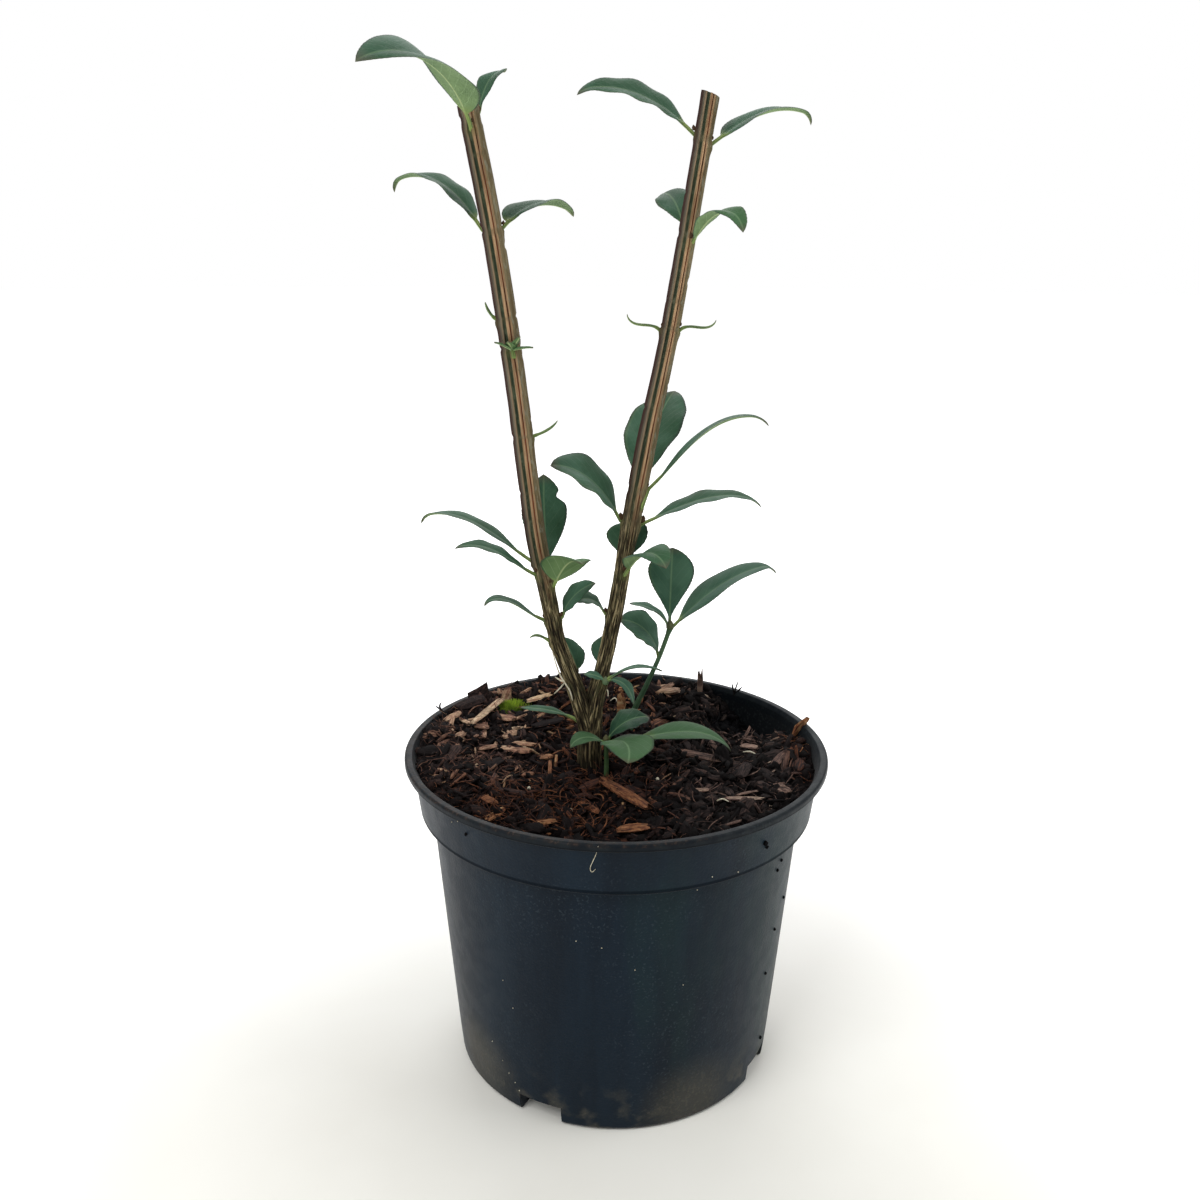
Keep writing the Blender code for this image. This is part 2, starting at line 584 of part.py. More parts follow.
def half_width(plan, s):
    """Half-width of the stalk and blade at s along the midrib."""
    if s <= plan.stalk:
        return STALK_HALF
    t = (s - plan.stalk) / (1 - plan.stalk)
    shape = math.sin(math.pi * t ** (math.log(0.5) / math.log(plan.widest))) ** 0.8 if t < 1 else 0.0
    return max(TIP_HALF + (STALK_HALF - TIP_HALF) * (1 - s), plan.width / 2 * shape)


def leaf_solid(name, plan, foot, steps=BLADE_STEPS, strips=BLADE_STRIPS, surface=None):
    """A folded, arching blade on its stalk, split into triangles alike on both faces."""
    place = np.array(foot, float)
    fold = math.radians(BLADE_FOLD)
    blade = 1 - plan.stalk
    stations = [0.0, plan.stalk] + [plan.stalk + blade * i / (steps - 1) for i in range(1, steps)]
    upper, lower = [], []
    before = 0.0
    for s in stations:
        middle = (before + s) / 2
        a, b = math.radians(slope(plan, middle)), math.radians(plan.heading + plan.turn * middle)
        ahead = np.array([math.cos(b) * math.cos(a), math.sin(b) * math.cos(a), math.sin(a)])
        place = place + ahead * plan.length * (s - before)
        before = s
        a, b = math.radians(slope(plan, s)), math.radians(plan.heading + plan.turn * s)
        ahead = np.array([math.cos(b) * math.cos(a), math.sin(b) * math.cos(a), math.sin(a)])
        right = np.array([math.sin(b), -math.cos(b), 0.0])
        up = np.cross(right, ahead)
        r = math.radians(plan.roll[0] + (plan.roll[1] - plan.roll[0]) * s)
        right, up = right * math.cos(r) - up * math.sin(r), up * math.cos(r) + right * math.sin(r)
        half = half_width(plan, s)
        for i in range(strips + 1):
            across = 2.0 * i / strips - 1.0
            point = place + right * across * half * math.cos(fold)
            point = point + up * abs(across) * half * math.sin(fold)
            upper.append(point + up * BLADE_THICK / 2)
            lower.append(point - up * BLADE_THICK / 2)
    row = strips + 1
    rows = len(stations)
    under = rows * row
    faces = []
    for r in range(rows - 1):
        for i in range(strips):
            a, b, c, d = r * row + i, r * row + i + 1, (r + 1) * row + i + 1, (r + 1) * row + i
            faces += [(a, b, c), (a, c, d)]
            faces += [(under + a, under + c, under + b), (under + a, under + d, under + c)]
        a, d = r * row, (r + 1) * row
        faces += [(a, d, under + d), (a, under + d, under + a)]
        b, c = r * row + strips, (r + 1) * row + strips
        faces += [(b, under + c, c), (b, under + b, under + c)]
    for i in range(strips):
        a, b = i, i + 1
        faces += [(a, under + a, under + b), (a, under + b, b)]
        a, b = (rows - 1) * row + i, (rows - 1) * row + i + 1
        faces += [(a, b, under + b), (a, under + b, under + a)]
    return solid(name, upper + lower, faces, surface)


def seat(stem, height, side, reach=LEAF_SEAT):
    """Where a leaf's foot sits on a stem."""
    a = math.radians(side)
    out = core_radius(stem, height) + reach
    return on_path(stem_parts(stem)[0], height) + out * np.array([math.cos(a), math.sin(a), 0.0])


def build_stem_leaves(surface):
    """Every leaf and bud that sits on the brown stems, each a piece of its own."""
    for plan in STEM_LEAVES:
        small = plan.width < 3
        steps, strips = (5, 2) if small else (BLADE_STEPS, BLADE_STRIPS)
        leaf_solid(plan.name, plan, seat(plan.stem, plan.height, plan.side), steps, strips, surface)


def bud(name, place, radius, surface=None):
    """A small pointed bud."""
    rings = [(-1.0, 0.35), (-0.3, 0.95), (0.5, 0.8), (1.3, 0.2)]
    points = []
    for up, wide in rings:
        for i in range(6):
            a = 2 * math.pi * i / 6
            points.append((place[0] + radius * wide * math.cos(a), place[1] + radius * wide * math.sin(a),
                           place[2] + radius * up))
    return solid(name, points, loft_faces(len(rings), 6), surface)


def build_star(surface):
    """Three tiny leaflets that open from one bud on the front of the left stem."""
    foot = seat("left", STAR_HEIGHT, STAR_SIDE, 1.3)
    star = bud("leaf_left_06", foot, 1.0, surface)
    leaflets = []
    for heading, length in STAR_LEAFLETS:
        plan = leaf("leaflet", "left", STAR_HEIGHT, heading, length, 2, (20, 25, 10))
        a = math.radians(heading)
        behind = foot - 0.3 * np.array([math.cos(a), math.sin(a), 0.0])
        leaflets.append(leaf_solid("leaflet", plan, behind, 5, 2))
    return combine(star, leaflets, "UNION")


def tube(name, path, half, sides, surface=None):
    """A round shoot along a centre line."""
    low, high = path[0][2], path[-1][2]
    heights = sorted({row[2] for row in path} | {low + (high - low) * i / 6 for i in range(7)})
    points = []
    for height in heights:
        centre = on_path(path, height)
        tangent = on_path(path, min(height + 1, high)) - on_path(path, max(height - 1, low))
        tangent /= np.linalg.norm(tangent)
        across = np.cross([0.0, 1.0, 0.0], tangent)
        across /= np.linalg.norm(across)
        back = np.cross(tangent, across)
        for i in range(sides):
            a = 2 * math.pi * i / sides
            points.append(centre + half * (across * math.cos(a) + back * math.sin(a)))
    return solid(name, points, loft_faces(len(heights), sides), surface)


def build_shoot(name, path, plans, surface):
    """A green shoot that stands in the mix, with its leaves and its top bud."""
    shoot = tube(name, path, SHOOT_HALF, SHOOT_SIDES, surface)
    parts = [leaf_solid("blade", plan, on_path(path, plan.height - 0.6)) for plan in plans]
    parts.append(bud("bud", on_path(path, path[-1][2]) + np.array([0.0, 0.0, 0.6]), 1.5))
    return combine(shoot, parts, "UNION")


def build_fork_shoot(surface):
    """A leafy bud on the right branch, just over the fork."""
    foot = seat("right", FORK_SHOOT_HEIGHT, FORK_SHOOT_SIDE, 1.7)
    shoot = bud("shoot_fork", foot, 1.25, surface)
    return combine(shoot, [leaf_solid("blade", plan, foot) for plan in FORK_SHOOT_LEAVES], "UNION")


# Moss
def build_moss(surface):
    """A tuft of moss: a low cushion with three-sided blades that stand out of it."""
    x, y = MOSS_PLACE
    rings = [(1.0, 0.0), (1.02, 0.35), (0.75, 0.8), (0.3, 1.0)]
    points = []
    for wide, up in rings:
        for i in range(14):
            a = 2 * math.pi * i / 14
            points.append((x + MOSS_RADIUS * wide * math.cos(a), y + 0.8 * MOSS_RADIUS * wide * math.sin(a),
                           MOSS_SEAT_HEIGHT + MOSS_HEIGHT * up))
    moss = solid("moss_tuft", points, loft_faces(len(rings), 14), surface)
    draw = random.Random(MOSS_SEED)
    blades = []
    for i in range(MOSS_BLADES):
        a, radius = 2.4 * i, 0.85 * MOSS_RADIUS * math.sqrt((i + 0.5) / MOSS_BLADES)
        foot = np.array([x + radius * math.cos(a), y + 0.8 * radius * math.sin(a), MOSS_SEAT_HEIGHT + 0.5])
        lean = np.array([math.cos(a), math.sin(a), 0.0]) * draw.uniform(0.5, 2.0) * radius / MOSS_RADIUS
        tip = foot + lean + np.array([0.0, 0.0, draw.uniform(3.0, 4.6)])
        ring = [foot + 0.5 * np.array([math.cos(t), math.sin(t), 0.0]) for t in (a, a + 2.1, a + 4.2)]
        blades.append(solid("blade", ring + [tip], [(2, 1, 0), (0, 1, 3), (1, 2, 3), (2, 0, 3)]))
    return combine(moss, blades, "UNION")


def smooth(made, angle):
    """Shade the round faces smooth and keep the edges."""
    made.data.shade_smooth()
    made.data.set_sharp_from_angle(angle=math.radians(angle))


def main():
    """Build every piece."""
    for old in list(bpy.data.objects):
        bpy.data.objects.remove(old)
    plastic = material("pot_plastic", (0.012, 0.018, 0.024), 0.42)
    peat = material("potting_mix", (0.035, 0.018, 0.010), 0.95)
    bark = material("stem_bark", (0.13, 0.075, 0.04), 0.85)
    green = material("leaf_green", (0.035, 0.11, 0.065), 0.45)
    young = material("shoot_green", (0.06, 0.14, 0.06), 0.5)
    moss = material("moss_green", (0.16, 0.32, 0.03), 0.9)
    build_pot(plastic)
    build_mix(peat)
    build_stems(bark)
    build_stem_leaves(green)
    build_star(green)
    build_shoot("shoot_side", SIDE_SHOOT, SIDE_SHOOT_LEAVES, young)
    build_shoot("shoot_low", LOW_SHOOT, LOW_SHOOT_LEAVES, young)
    build_fork_shoot(young)
    build_moss(moss)
    for made in bpy.data.objects:
        smooth(made, 35.0)


main()
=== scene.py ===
"""The potted burning bush, dressed for its pictures.

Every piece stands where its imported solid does: the origin is the centre of the pot's underside, +Z is up
and -Y is the front. Lengths are in millimetres and angles in degrees until a mesh is made.
"""

import json
import math
import random
from collections import namedtuple

import bmesh
import bpy
import numpy as np
from mathutils import Matrix, Vector, noise

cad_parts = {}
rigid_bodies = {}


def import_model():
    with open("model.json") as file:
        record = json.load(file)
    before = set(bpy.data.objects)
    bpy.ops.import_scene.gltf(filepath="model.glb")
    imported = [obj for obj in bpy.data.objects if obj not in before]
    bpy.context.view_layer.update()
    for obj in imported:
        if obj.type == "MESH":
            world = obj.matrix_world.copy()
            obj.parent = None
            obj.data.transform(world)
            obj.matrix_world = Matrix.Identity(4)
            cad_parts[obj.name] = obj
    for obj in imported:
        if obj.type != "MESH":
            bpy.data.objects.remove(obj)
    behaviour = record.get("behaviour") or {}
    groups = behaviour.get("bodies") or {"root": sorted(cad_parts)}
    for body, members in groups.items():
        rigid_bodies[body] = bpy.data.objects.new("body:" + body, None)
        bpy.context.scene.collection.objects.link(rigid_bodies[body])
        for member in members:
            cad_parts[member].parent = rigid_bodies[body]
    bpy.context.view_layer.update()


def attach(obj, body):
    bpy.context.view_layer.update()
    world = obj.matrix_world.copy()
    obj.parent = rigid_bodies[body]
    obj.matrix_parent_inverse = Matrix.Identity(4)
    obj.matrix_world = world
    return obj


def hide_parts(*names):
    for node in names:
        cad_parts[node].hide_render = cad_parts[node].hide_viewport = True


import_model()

MM = 0.001
GAP = 0.3

# Camera, floor and light
CAMERA_PLACE = (-5.2, -344.0, 253.3)
CAMERA_PITCH = 16.9     # down from level
CAMERA_ROLL = 0.32
CAMERA_LENS = 36.0      # on a sensor as wide, so that the view is 53 degrees
FLOOR_RADIUS = 6.0      # metres, as all of this block that follows
FLOOR_DROP = 0.0002     # under the pot's foot
LIGHT_AIM = (0.0, 0.0, 0.13)
# Name, place, width of the square and power in watts
LIGHTS = [
    ("over_front_left", (-0.55, -0.65, 0.95), 0.7, 7.0), ("over_right", (0.75, -0.1, 0.75), 0.6, 3.0),
    ("behind", (0.0, 0.8, 0.7), 0.8, 4.0),
]

# Pot
POT_HEIGHT = 102.0
LIP_RADIUS = 65.0
LIP_DEPTH = 2.4
LIP_ROUND = 0.8
LIP_WIDTH = 2.0
COLLAR_TOP_RADIUS = 62.6
COLLAR_FOOT_RADIUS = 60.7
COLLAR_FOOT_HEIGHT = 84.6
COLLAR_ROUND = 0.9
FILLET = 0.6            # in the corners under the lip and over the step
BODY_TOP_RADIUS = 57.1
BASE_RADIUS = 50.0
BASE_ROUND = 1.5
WALL = 1.2
FLOOR = 1.5
LIP_LOW = POT_HEIGHT - LIP_DEPTH
COLLAR_SLOPE = (COLLAR_TOP_RADIUS - COLLAR_FOOT_RADIUS) / (LIP_LOW - COLLAR_FOOT_HEIGHT)
COLLAR_AXIS_RADIUS = 49.9       # of the collar's cone, carried on down to the table
POT_SIDES = 180
CHANNEL_COUNT = 4
CHANNEL_TURN = 26.5     # of the first one, from the front towards the left
CHANNEL_WIDTH = 14.0
CHANNEL_HEIGHT = 6.0
CHANNEL_INNER_END = 20.0
CHANNEL_OUTER_END = 49.2
CHANNEL_SKIN = 1.3
DRAIN_HOLE_RADIUS = 4.0
DRAIN_HOLE_PLACE = 34.0

# Potting mix
MIX_HEIGHT = 97.9
MIX_RELIEF = 1.8
MIX_HIGHEST = 101.2
MIX_CRUMBLE = 1.6       # height of the fine relief
MIX_RINGS = 90
MIX_SPOKES = 260
HOLLOW_PLACE = (45.0, 32.0)
HOLLOW_RADIUS = 15.0
HOLLOW_DEPTH = 9.5
MIX_LOWEST = 88.4
BANK_START = 34.0       # from here outwards the mix rises to the rim
BANK_END = 58.0
BANK_HEIGHT = 3.4
BANK_TURN = 128.0       # azimuth of the bank's highest side
MOSS_PLACE = (-34.8, 34.5)
MOSS_SEAT_HEIGHT = 99.2
MOSS_RADIUS = 5.0
MOSS_BLEND = 5.0        # how far round its seat the mix is evened out
MOSS_LUMPS = [(-2.6, -2.4, 3.2, 1.3), (0.2, 0.2, 3.9, 2.5), (3.5, 1.4, 2.6, 1.6)]    # (x, y, reach, height)

# Stems: centre lines as (x, y, height), half-widths over the wings as (height, half-width), and leaf
# nodes, where the wings stop, as (height, half-length)
LEFT_STEM = [
    (-7.9, -6.1, 104), (-9.4, -6.5, 112), (-12.6, -7.4, 124), (-15.4, -7.9, 132), (-17.8, -8.3, 139),
    (-20.7, -9.4, 155), (-23.5, -10.4, 170), (-25.5, -11.6, 187), (-28.9, -13.7, 218), (-33.8, -16.1, 254),
    (-39.3, -18.1, 285),
]
RIGHT_STEM = [
    (-8.1, -6.1, 66), (-8.1, -6.1, 96), (-8.1, -6.1, 106), (-6.5, -5.3, 119), (-4.6, -4.7, 127),
    (-1.1, -3.7, 144), (1.9, -2.5, 162), (5.0, -1.3, 180), (9.2, 0.2, 203), (13.6, 1.6, 225),
    (18.6, 3.6, 255), (23.9, 5.9, 290),
]
LEFT_GIRTH = [(104, 2.6), (120, 2.8), (132, 2.5), (150, 2.55), (162, 2.95), (218, 3.0), (285, 2.8)]
RIGHT_GIRTH = [
    (66, 3.9), (106, 3.9), (112, 3.5), (118, 3.05), (122, 2.9), (130, 2.45), (158, 2.5), (174, 3.0),
    (190, 3.15), (215, 2.85), (290, 2.65),
]
LEFT_NODES = [
    (127, 1.2), (139, 1.0), (145.8, 1.3), (160, 5.0), (200, 1.2), (224, 1.4), (232, 1.2), (254.6, 1.3),
    (281.2, 2.6),
]
RIGHT_NODES = [
    (127.4, 2.2), (145.6, 1.2), (159.2, 1.8), (173.5, 1.6), (182.5, 2.4), (206, 1.2), (228.5, 1.2),
    (253.5, 2.2), (279, 2.0),
]
CORE_SHARE = 0.79
WING_TURN = 12.0        # azimuth of the first wing; the others follow at quarter turns
STEM_STEP = 0.8
# Where a stem's points lie between two wings, as shares of the quarter turn, and the radius there as a
# share of the half-width: every other quarter has a deep groove, and the rest have a broad corky face
QUARTER = [
    0.0, 0.012, 0.03, 0.055, 0.08, 0.1, 0.14, 0.19, 0.24, 0.29, 0.36, 0.44, 0.5, 0.55, 0.59, 0.63, 0.7,
    0.76, 0.8, 0.84, 0.88, 0.94,
]
STEM_SIDES = 4 * len(QUARTER)
GROOVE_REACH = [
    (0.0, 1.0), (0.1, 0.97), (0.5, 0.9), (0.56, 0.88), (0.62, 0.75), (0.77, 0.72), (0.83, 0.9),
    (0.88, 0.99), (1.0, 1.0),
]
FACE_REACH = [
    (0.0, 1.0), (0.012, 0.96), (0.03, 0.87), (0.075, 0.87), (0.1, 0.96), (0.24, 0.96), (0.5, 0.92),
    (0.9, 0.95), (1.0, 1.0),
]
NOTCH_SHARE = 0.45      # how much of a node's length stays open between the ragged ends of the wings
NOTCH_FLOOR = 0.5       # of a wing's height, at the bottom of the gap
TOP_SLANT = {"left": 0.1, "right": -0.24}    # rise of the cut top per millimetre to the right
ROUGH_LEFT = (150.0, 172.0)     # heights between which the bark turns from fissured to winged
ROUGH_RIGHT = (160.0, 196.0)
FORK_HEIGHT = 114.0
# how far up and down from the fork the painted shade in its crotch reaches
CROTCH_SHADE_REACH = 9.0
FOOT_FLARE = 0.06
FLARE_SPAN = (94.0, 104.0)      # heights over which the flare fades
DARK_SPAN = (97.5, 104.0)       # heights over which the foot's dark colour fades
CUSHION_HEIGHT = 0.45   # of the swelling under each leaf
CUSHION_SPREAD = 34.0   # degrees
GROWN_BUDS = (165.0, 175.0)     # heights between which the buds over the leaves are large

# Leaves
STALK_SHARE = 0.1
STALK_HALF = 0.55
TIP_HALF = 0.35
LEAF_SEAT = 0.85
BLADE_FOLD = 9.0        # degrees
BLADE_THICK = 0.42
STALK_THICK = 1.0
BLADE_STEPS = 96
BLADE_COLUMNS = 24
TOOTH_PITCH = 1.1
TOOTH_DEPTH = 0.16
HOOK_START = 0.86       # of a leaf's length: beyond it the tip hooks down
NARROW_LEAF = 3.0       # leaves under this width are bare slips, with few points
BLADE_CROWN = 0.05      # of a blade's half-width, as the ripple is
BLADE_RIPPLE = 0.045
RIB_HEIGHT = 0.3
RIB_REACH = 0.45
BITE_REACH = 0.045      # of a leaf's length
VEIN_PITCH = 3.3
VEIN_LEAN = 1.25        # how far a vein runs on for each millimetre out
ROOT_DROP = 1.2         # from a leaf's foot down to where its stalk leaves the stem's inside
ROOT_REACH = -0.9
# The same as (drop, side, reach) where a leaf's stalk starts elsewhere
STALK_ROOTS = {"leaf_right_08": (6.0, 306, 0.3)}

Leaf = namedtuple(
    "Leaf", "name stem height side heading turn length width rise roll widest stalk hook young bite")


def leaf(name, stem, height, heading, length, width, rise, side=None, turn=0, roll=(0, 0),
         widest=0.5, stalk=STALK_SHARE, hook=0, young=0.15, bite=(0.5, 0.0)):
    """A leaf's plan: rise is the midrib's slope at its foot, middle and tip, roll at foot and tip.

    young runs from old dark green to new light green, and bite is (place along, depth).
    """
    return Leaf(name, stem, height, heading if side is None else side, heading, turn, length, width,
                rise, roll, widest, stalk, hook, young, bite)


STEM_LEAVES = [
    leaf("leaf_left_01", "left", 279.5, 263, 48, 19, (36, 17, -30), side=268, turn=-43,
         roll=(-22, -27), widest=0.44),
    leaf("leaf_left_02", "left", 282.5, 53, 16, 9, (65, 55, -1), turn=-7, roll=(-12, -2), widest=0.61),
    leaf("leaf_left_03", "left", 254.5, 163, 32.5, 12.5, (54, 29, -44), side=150, roll=(-6, -4),
         widest=0.38, hook=50),
    leaf("leaf_left_04", "left", 255, 37, 25.5, 15.5, (45, 10, -33), side=32, roll=(-4, 5),
         widest=0.34, hook=20),
    leaf("leaf_left_05", "left", 232, 180, 5, 2, (40, 60, 80), young=0.3),
    leaf("leaf_left_07", "left", 200, 5, 8, 2, (20, 30, 60), young=0.3),
    leaf("leaf_left_08", "left", 160, 96, 30.5, 13.5, (18, 72, 88), side=67, turn=7, roll=(-8, -6),
         widest=0.59, bite=(0.8, 0.35)),
    leaf("leaf_left_09", "left", 163.5, 166, 38, 9, (31, 23, -29), turn=-3, roll=(1, 7), hook=40),
    leaf("leaf_left_10", "left", 160, 206, 26, 9, (31, 30, -18), side=215, turn=-9, roll=(-18, -3)),
    leaf("leaf_left_11", "left", 156.5, 301, 21.5, 14.5, (54, 36, -13), side=323, turn=-3,
         roll=(-14, -10), widest=0.46, young=0.42),
    leaf("leaf_left_12", "left", 145.5, 190, 20, 7, (24, 30, -32), side=186, turn=17, roll=(-8, 1),
         widest=0.54, hook=30),
    leaf("leaf_left_13", "left", 146, 6, 15, 8.5, (73, 47, 19), side=0, turn=-10, roll=(27, 22)),
    leaf("leaf_left_14", "left", 139, 180, 6, 2, (30, 10, -60), young=0),
    leaf("leaf_left_15", "left", 127, 104, 13.5, 8.5, (46, 47, 33), side=55, turn=44, roll=(3, -2),
         widest=0.46),
    leaf("leaf_right_01", "right", 280, 187, 35.5, 14, (43, 19, -19), side=173, turn=5,
         roll=(-27, -27), widest=0.41, hook=20),
    leaf("leaf_right_02", "right", 277.5, 18, 33, 11.5, (35, 18, -31), turn=-7, roll=(13, 0),
         widest=0.35, hook=60),
    leaf("leaf_right_03", "right", 255, 101, 24, 10, (49, 26, 1), side=111, turn=4, roll=(-13, -25),
         widest=0.53),
    leaf("leaf_right_04", "right", 252, 308, 25, 9.5, (51, 13, -75), turn=-4, roll=(8, 11),
         widest=0.48, stalk=0.03, young=0.3),
    leaf("leaf_right_05", "right", 228, 180, 11, 2, (45, 5, 95), young=0.05),
    leaf("leaf_right_06", "right", 228.2, 0, 11, 2, (35, -5, 80), young=0.05),
    leaf("leaf_right_07", "right", 181, 81, 46, 19, (29, 37, 25), turn=-20, roll=(-11, -2), widest=0.58),
    leaf("leaf_right_08", "right", 183, 5, 43, 8.5, (43, 39, -26), side=359, turn=-8, roll=(3, -7),
         hook=30),
    leaf("leaf_right_09", "right", 173.5, 180, 28, 20, (63, 43, -2), side=184, turn=13,
         roll=(-12, -23), young=0.15),
    leaf("leaf_right_10", "right", 172.5, 9, 38.5, 11.5, (22, 13, -32), roll=(2, 5), widest=0.46, hook=20),
    leaf("leaf_right_11", "right", 160, 68, 14.5, 12.5, (54, 66, -10), side=79, turn=31,
         roll=(-3, -10), widest=0.57),
    leaf("leaf_right_12", "right", 158.5, 303, 24, 12.5, (51, 24, -49), side=289, roll=(10, 8), young=0.2),
    leaf("leaf_right_13", "right", 145.5, 183, 10.5, 8.5, (61, 28, -44), side=169, turn=-4,
         roll=(6, -16), widest=0.55),
    leaf("leaf_right_14", "right", 128, 75, 12, 7.5, (57, 42, 36), side=112, turn=-14, roll=(-3, 0)),
    leaf("leaf_low_narrow", "left", 113, 166, 17.5, 4.5, (20, 2, -6), turn=-8, roll=(-2, -6)),
]
STAR_HEIGHT = 224
STAR_SIDE = 270
STAR_LEAFLETS = [(192, 5.2, 24), (352, 5.8, 8), (320, 4.6, 52), (250, 3.6, 40)]   # (heading, length, rise)

SHOOT_HALF = 0.95
SHOOT_TAPER = 0.3       # of its half-width, lost over the heights that follow
SHOOT_SPAN = (98.0, 125.0)
SIDE_SHOOT = [
    (5, 20, 80), (5, 20, 99.5), (5, 20, 102), (7.1, 18.2, 108.5), (9.7, 16.5, 115), (13.7, 14, 126),
    (16.7, 12, 136),
]
SIDE_SHOOT_LEAVES = [
    leaf("front", "shoot", 136, 82, 26, 14.5, (83, 78, 62), roll=(-3, -3), widest=0.68),
    leaf("right", "shoot", 136, 1, 41, 15, (47, 34, -2), turn=12, roll=(9, -1), widest=0.44, hook=60),
    leaf("behind", "shoot", 136, 177, 16.5, 7.5, (82, 29, 10), turn=7, roll=(5, -3)),
    leaf("left", "shoot", 126, 184, 19.5, 13, (79, 48, -3), turn=-3, roll=(-24, -29), widest=0.55),
]
LOW_SHOOT = [(-3, -13.6, 80), (-3, -13.6, 99.5), (-3, -13.6, 102), (-3.2, -14, 109)]
LOW_SHOOT_LEAVES = [
    leaf("left", "shoot", 109, 194, 12.5, 6.5, (32, 4, -71), roll=(-2, -13), widest=0.54, young=0.5),
    leaf("front", "shoot", 109, 327, 19.5, 16, (32, 3, -28), turn=-72, roll=(4, -6), young=0.6),
    leaf("back", "shoot", 109, 17, 16.5, 11.5, (63, 25, -17), turn=6, roll=(-1, 9), widest=0.56, young=0),
    leaf("right", "shoot", 109, 357, 40.5, 10, (4, 5, -59), turn=13, roll=(11, 4), stalk=0.22, young=0.45),
]
FORK_SHOOT_HEIGHT = 126
FORK_SHOOT_SIDE = 292
FORK_SHOOT_LEAVES = [
    leaf("right", "shoot", 126, 357, 19, 4, (46, 7, -31), turn=23, roll=(-5, -6), widest=0.57),
    leaf("down", "shoot", 126, 349, 13, 5.5, (32, -46, -80), turn=6, roll=(8, 18)),
    leaf("left", "shoot", 126, 179, 7, 4, (34, 19, -7), roll=(-15, -15)),
]

# Bark chips that show by themselves, as (x, y, heading, length, width, tilt, tone)
PLACED_CHIPS = [
    (-53.2, 20, 50, 6.7, 3, 8, 0.9), (-53, 15.5, 87, 7.5, 1.6, 10, 0.86), (-49, 18, -61, 8, 2, 10, 0.93),
    (-44.2, 17.2, -32, 6.5, 3.4, 5, 0.82), (-42.2, 12.6, -85, 8, 1.6, 5, 0.88),
    (-36.2, 24, -40, 7.8, 3.9, 6, 0.84), (-30.1, 26.6, 50, 10.5, 2.6, 5, 0.92),
    (-25.6, 28.3, 45, 5, 2.1, 5, 0.9), (-33.9, 14.4, 40, 5, 3.7, 8, 0.9),
    (-29.1, 7.6, -24, 7.4, 2.6, 5, 0.88), (-40, 3.7, 17, 6, 2.6, 4, 0.85),
    (-34, 2.6, -26, 6.6, 3.0, 4, 0.9), (-29.5, -0.4, -32, 7, 3.2, 7, 0.82),
    (-49.1, 6.2, 51, 3.6, 3.1, 10, 0.88), (-21.4, -4.1, -14, 3.6, 3.2, 10, 0.84),
    (-18.4, -7.7, 88, 5, 1.1, 30, 0.9), (-20, -12.3, 92, 6, 1.1, 20, 0.8),
    (-26.4, -15.9, -15, 3.4, 2.7, 10, 0.8), (-42, 25.7, 67, 19.8, 2.7, 3, 0.97),
    (-26.2, 39.2, 33, 9.5, 2.9, 4, 1.0), (25.3, -1.9, -32, 16.4, 4.4, 3, 0.74),
    (2.1, -32.4, -60, 24, 4.2, 5, 0.78), (-8, -38.1, -58, 9.5, 2.6, 5, 0.74), (4, -51, 5, 8, 4, 4, 0.8),
    (18.6, 43.9, -20, 8, 5, 12, 0.9), (14.1, 24.7, 35, 10, 4, 8, 0.75), (21, 53.5, 10, 6, 5, 8, 0.25),
    (17, 50, -10, 6, 2.6, 6, 0.93), (34, -33, -5, 14, 2, 3, 0.9), (-8, -24, 40, 7, 3, 6, 0.6),
    (-30, -30, -30, 9, 3, 5, 0.5), (18, -46, 25, 6, 3, 8, 0.5), (38, -16, 70, 8, 3.5, 6, 0.45),
    (-50, -8, 75, 9, 4, 9, 0.5), (42, 4, -40, 6, 3, 8, 0.82), (-20, -48, 10, 6, 2.5, 5, 0.86),
    (-36, -38, -55, 7, 3, 6, 0.78), (24, -27, -10, 5, 2.4, 8, 0.86), (-48.3, 30, 20, 9, 6, 14, 0.42),
    (-14, 46, -25, 9, 5, 12, 0.4), (-22, 20, 15, 10, 4, 8, 0.3), (-38, -10, 35, 8, 4, 10, 0.35),
    (50, -6, 60, 9, 3, 6, 0.68), (30, 12, -50, 8, 3, 8, 0.62),
]
# Bark flakes that stand up, as a tone and an outline in space
STANDING_FLAKES = [
    (0.44, [(-50, 36.5, 104.4), (-46.6, 36.7, 106.2), (-43.3, 36.5, 108.5), (-42.7, 36.2, 105.2),
            (-42.5, 35.8, 99.0), (-49.4, 36, 98.5)]),
    (0.88, [(-38.4, 38, 98.8), (-38.4, 38.2, 104.2), (-36.9, 38.2, 106), (-35.3, 38, 106.1),
            (-35.2, 37.6, 99.2)]),
    (0.8, [(28.9, 47, 97.6), (28.8, 47, 108.2), (29.3, 47, 109.3), (29.9, 47, 107.6), (30.4, 47, 110.5),
           (30.8, 47, 105.7), (30.5, 47, 97.6)]),
    (0.86, [(56.6, 15, 96.8), (58.2, 16, 101.6), (60.4, 16, 103.6), (62, 16, 104.9), (62.8, 16.6, 104.2),
            (61.8, 17, 102.2), (59.8, 17, 99.8), (58, 16.6, 97)]),
    (0.9, [(0.6, 20.4, 103), (0.6, 20.4, 110.4), (2.4, 20, 111.6), (3.4, 19.6, 107.4), (2.6, 19.6, 102.6)]),
]
FLAKE_THICK = 0.9
CHIP_THICK = 0.3        # of a chip's width
CHIP_LIFT = 1.0
